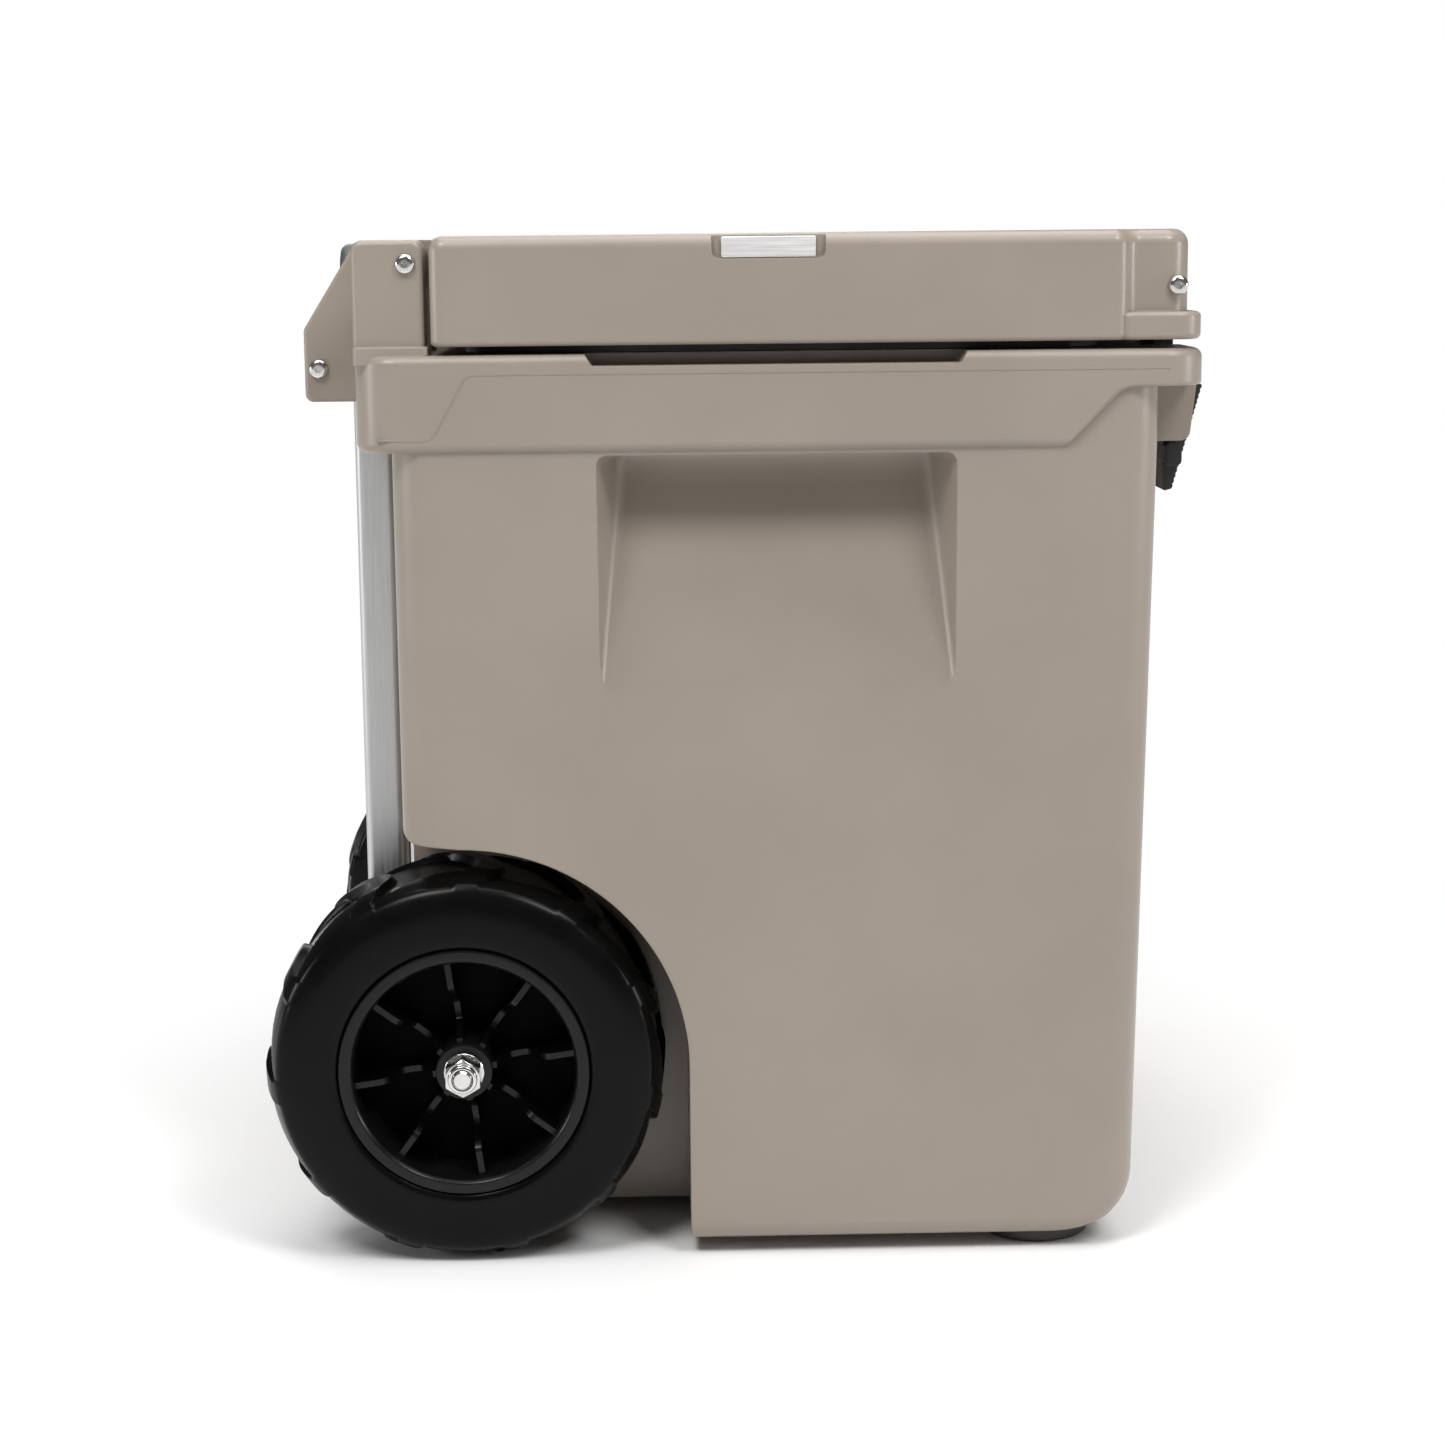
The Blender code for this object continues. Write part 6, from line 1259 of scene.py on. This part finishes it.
def studio_world():
    """A white backdrop that lights the cooler only faintly, so that its blacks stay black."""
    world = bpy.data.worlds.new("studio")
    world.use_nodes = True
    tree = world.node_tree
    seen = tree.nodes["Background"]
    seen.inputs["Color"].default_value = linear("#FFFFFF")
    faint = add_node(tree, "ShaderNodeBackground", Color=linear("#FFFFFF"), Strength=FAINT_LIGHT)
    path = add_node(tree, "ShaderNodeLightPath")
    mixed = add_node(tree, "ShaderNodeMixShader", _0=path.outputs["Is Camera Ray"],
                     _1=faint.outputs[0], _2=seen.outputs[0])
    tree.links.new(mixed.outputs[0], tree.nodes["World Output"].inputs["Surface"])
    return world


class COOLER_OT_body(bpy.types.Operator):
    """Models the moulded body"""
    bl_idname = "cooler.body"
    bl_label = "Body"

    def execute(self, context):
        body = make_body(context.scene.cooler_sizes)
        clean(body)
        finish_piece(body, "tan_polyethylene", "body", "body_shell")
        return {"FINISHED"}


class COOLER_OT_lid(bpy.types.Operator):
    """Models the lid and the plate in its side"""
    bl_idname = "cooler.lid"
    bl_label = "Lid"

    def execute(self, context):
        lid = make_lid()
        clean(lid)
        finish_piece(lid, "tan_polyethylene", "lid", "lid_shell")
        plate = make_plate()
        soften(plate, context.scene.cooler_sizes.plate_edge, 3)
        finish_piece(plate, "plate_aluminium", "lid", "lid_side_plate")
        return {"FINISHED"}


class COOLER_OT_latches(bpy.types.Operator):
    """Models the two rubber latches"""
    bl_idname = "cooler.latches"
    bl_label = "Latches"

    def execute(self, context):
        for name, side in SIDES:
            item = make_latch(f"t_latch_{name}", side)
            soften(item, context.scene.cooler_sizes.latch_edge)
            finish_piece(item, "black_rubber", f"latch_{name}", f"latch_{name}")
        return {"FINISHED"}


class COOLER_OT_rods(bpy.types.Operator):
    """Models the hinge, latch and handle rods and their screws"""
    bl_idname = "cooler.rods"
    bl_label = "Rods and screws"

    def execute(self, context):
        rods = (("hinge", HINGE_X, HINGE_Z, POST_OUTER_Y, "body"),
                ("handle", HANDLE_ROD_X, HANDLE_ROD_Z, WING_OUTER_Y, "body"),
                ("latch", LATCH_ROD_X, LATCH_ROD_Z, LID_HALF_W - LID_STEP_IN, "lid"))
        for label, x, z, half, body in rods:
            rod = make_rod(f"{label}_bar", x, z, half)
            finish_piece(rod, "stainless_steel", body, f"{label}_rod")
            for name, side in SIDES:
                screw = make_screw(f"{label}_button_screw_{name}", x, z, side, half)
                finish_piece(screw, "stainless_steel", body, f"{label}_rod_screw_{name}")
        return {"FINISHED"}


def paint_dish_shade(hub):
    """Gives a hub's web and the flanks of its ribs a dull finish, whose darker black is painted
    shade in the hub's recess.
    """
    hub.data.materials.append(shared("dull_plastic"))
    for face in hub.data.polygons:
        reach = math.hypot(face.center.x - AXLE_X, face.center.z - AXLE_Z)
        depth = RING_Y - abs(face.center.y)
        in_dish = BOSS_R < reach < BARREL_IN_R - DISH_MARGIN and depth < WEB_DEPTH + DISH_MARGIN * 2
        on_web = depth > WEB_DEPTH - DISH_MARGIN * 2
        if in_dish and (on_web or abs(face.normal.y) < FLANK_SHARE):
            face.material_index = 1


class COOLER_OT_wheels(bpy.types.Operator):
    """Models the tyres and hubs"""
    bl_idname = "cooler.wheels"
    bl_label = "Wheels"

    def execute(self, context):
        for name, side in SIDES:
            tyre = make_tyre(f"clawed_tyre_{name}", side)
            finish_piece(tyre, "tyre_rubber", f"wheel_{name}", f"tyre_{name}", flats=False)
            hub = make_hub(f"ribbed_hub_{name}", side)
            finish_piece(hub, "black_plastic", f"wheel_{name}", f"wheel_hub_{name}")
            # Paints shade into the hub's recess: a darker, duller black on its web and rib flanks.
            paint_dish_shade(hub)
        return {"FINISHED"}


class COOLER_OT_axle(bpy.types.Operator):
    """Models the axle and its fasteners"""
    bl_idname = "cooler.axle"
    bl_label = "Axle"

    def execute(self, context):
        washer_low = RING_Y - BOSS_SET_BACK + FIT_GAP
        nut_low = washer_low + WASHER_T + FIT_GAP
        reach = nut_low + NUT_H + NUT_COLLAR_H + AXLE_STAND_OUT
        finish_piece(make_axle(reach), "stainless_steel", "body", "axle_rod")
        for name, side in SIDES:
            washer = make_washer(f"flat_washer_{name}", side, washer_low, washer_low + WASHER_T)
            finish_piece(washer, "stainless_steel", "body", f"axle_washer_{name}")
            nut = make_nut(f"lock_nut_{name}", side, nut_low)
            soften(nut, context.scene.cooler_sizes.nut_edge)
            finish_piece(nut, "stainless_steel", "body", f"axle_nut_{name}")
        return {"FINISHED"}


class COOLER_OT_handle(bpy.types.Operator):
    """Models the telescopic handle"""
    bl_idname = "cooler.handle"
    bl_label = "Handle"

    def execute(self, context):
        middle_shrink = OUTER_WALL + RUN_GAP
        inner_shrink = middle_shrink + MIDDLE_WALL + RUN_GAP
        stages = (("outer", 0, OUTER_WALL, "body"),
                  ("middle", middle_shrink, MIDDLE_WALL, "handle_middle"),
                  ("inner", inner_shrink, INNER_WALL, "handle_top"))
        for name, side in SIDES:
            for stage, shrink, wall, body in stages:
                low, high = (corner.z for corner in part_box(f"{stage}_tube_{name}"))
                tube = make_tube(f"{stage}_slide_{name}", side, shrink, wall, low, high)
                finish_piece(tube, "anodised_aluminium", body, f"{stage}_tube_{name}")
            for stage, shrink, wall, body in stages[:2]:
                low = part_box(f"{stage}_collar_{name}")[0].z
                collar = make_collar(f"{stage}_guide_{name}", side, shrink + wall, low)
                finish_piece(collar, "grey_plastic", body, f"{stage}_collar_{name}")
            bracket = make_bracket(f"tube_foot_{name}", side)
            finish_piece(bracket, "grey_plastic", "body", f"tube_bracket_{name}")
            screw = make_bracket_screw(f"foot_screw_{name}", side)
            finish_piece(screw, "stainless_steel", "body", f"bracket_screw_{name}")
        housing = make_housing()
        soften(housing, context.scene.cooler_sizes.housing_edge)
        finish_piece(housing, "grey_plastic", "body", "handle_housing")
        grip = make_grip()
        soften(grip, GRIP_SOFT_R)
        finish_piece(grip, "grey_plastic", "handle_top", "handle_grip")
        finish_piece(make_button(), "black_plastic", "release_button", "release_button")
        return {"FINISHED"}


class COOLER_OT_fittings(bpy.types.Operator):
    """Models the drain plug and the feet, and paints the pieces kept from the solid model"""
    bl_idname = "cooler.fittings"
    bl_label = "Fittings"

    def execute(self, context):
        plug = make_drain_plug()
        soften(plug, DRAIN_SOFT_R)
        finish_piece(plug, "black_plastic", "drain_plug", "drain_plug")
        kept = {"lid_seal": "black_rubber", "drain_seal": "black_rubber",
                "release_yoke": "stainless_steel"}
        for name, side in SIDES:
            foot = make_foot(f"round_foot_{name}", side)
            finish_piece(foot, "foot_rubber", "body", f"foot_{name}")
            for node in ("axle_spacer", "wheel_sleeve", "release_rod", "return_spring"):
                kept[f"{node}_{name}"] = "stainless_steel"
            kept[f"lock_plug_{name}"] = "grey_plastic"
        for node, finish in kept.items():
            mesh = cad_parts[node].data
            mesh.materials.clear()
            mesh.materials.append(shared(finish))
        return {"FINISHED"}


class COOLER_OT_stage(bpy.types.Operator):
    """Sets the floor, the light and the camera"""
    bl_idname = "cooler.stage"
    bl_label = "Stage"

    def execute(self, context):
        stage = context.scene.cooler_stage
        bpy.ops.object.select_all(action="DESELECT")
        bpy.ops.mesh.primitive_circle_add(vertices=FLOOR_STEPS, radius=FLOOR_R, fill_type="NGON",
                                          location=(0, 0, 0))
        floor = context.object
        floor.name = "studio_floor"
        floor.data.materials.append(pale_floor())
        context.scene.world = studio_world()
        context.scene.view_settings.view_transform = "Standard"
        for name, place, size, watts in LAMPS:
            aim = (LAMP_AIM - Vector(place)).to_track_quat("-Z", "Y").to_euler()
            bpy.ops.object.light_add(type="AREA", location=place, rotation=aim)
            lamp = context.object
            lamp.name = f"{name}_light"
            lamp.data.size = size
            lamp.data.energy = watts * stage.light
        level = Vector((math.sin(stage.yaw), math.cos(stage.yaw), 0))
        across = Vector((math.cos(stage.yaw), -math.sin(stage.yaw), 0))
        ahead = math.cos(stage.pitch) * level - Vector((0, 0, math.sin(stage.pitch)))
        upright = across.cross(ahead)
        right = math.cos(stage.roll) * across + math.sin(stage.roll) * upright
        up = math.cos(stage.roll) * upright - math.sin(stage.roll) * across
        turn = Matrix((right, up, -ahead)).transposed()
        bpy.ops.object.camera_add(location=CAMERA_PLACE, rotation=turn.to_euler())
        camera = context.object
        camera.data.sensor_width = SENSOR_MM
        camera.data.lens = stage.lens
        context.scene.camera = camera
        return {"FINISHED"}


OPERATORS = (COOLER_OT_stage, COOLER_OT_body, COOLER_OT_lid, COOLER_OT_latches, COOLER_OT_rods,
             COOLER_OT_wheels, COOLER_OT_axle, COOLER_OT_handle, COOLER_OT_fittings)


class COOLER_PT_panel(bpy.types.Panel):
    """Lists the cooler's settings and pieces"""
    bl_idname = "COOLER_PT_panel"
    bl_label = "Wheeled cooler"
    bl_space_type = "VIEW_3D"
    bl_region_type = "UI"
    bl_category = "Cooler"

    def draw(self, context):
        scene = context.scene
        for settings in (scene.cooler_sizes, scene.cooler_colours, scene.cooler_stage):
            box = self.layout.box()
            for key in type(settings).__annotations__:
                box.prop(settings, key)
        for operator in OPERATORS:
            self.layout.operator(operator.bl_idname)


CLASSES = (CoolerSizes, CoolerColours, CoolerStage, *OPERATORS, COOLER_PT_panel)


def register():
    for each in CLASSES:
        bpy.utils.register_class(each)
    bpy.types.Scene.cooler_sizes = PointerProperty(type=CoolerSizes)
    bpy.types.Scene.cooler_colours = PointerProperty(type=CoolerColours)
    bpy.types.Scene.cooler_stage = PointerProperty(type=CoolerStage)


def unregister():
    del bpy.types.Scene.cooler_stage
    del bpy.types.Scene.cooler_colours
    del bpy.types.Scene.cooler_sizes
    for each in reversed(CLASSES):
        bpy.utils.unregister_class(each)


def main():
    register()
    for operator in OPERATORS:
        group, name = operator.bl_idname.split(".")
        getattr(getattr(bpy.ops, group), name)()


if __name__ == "__main__":
    main()
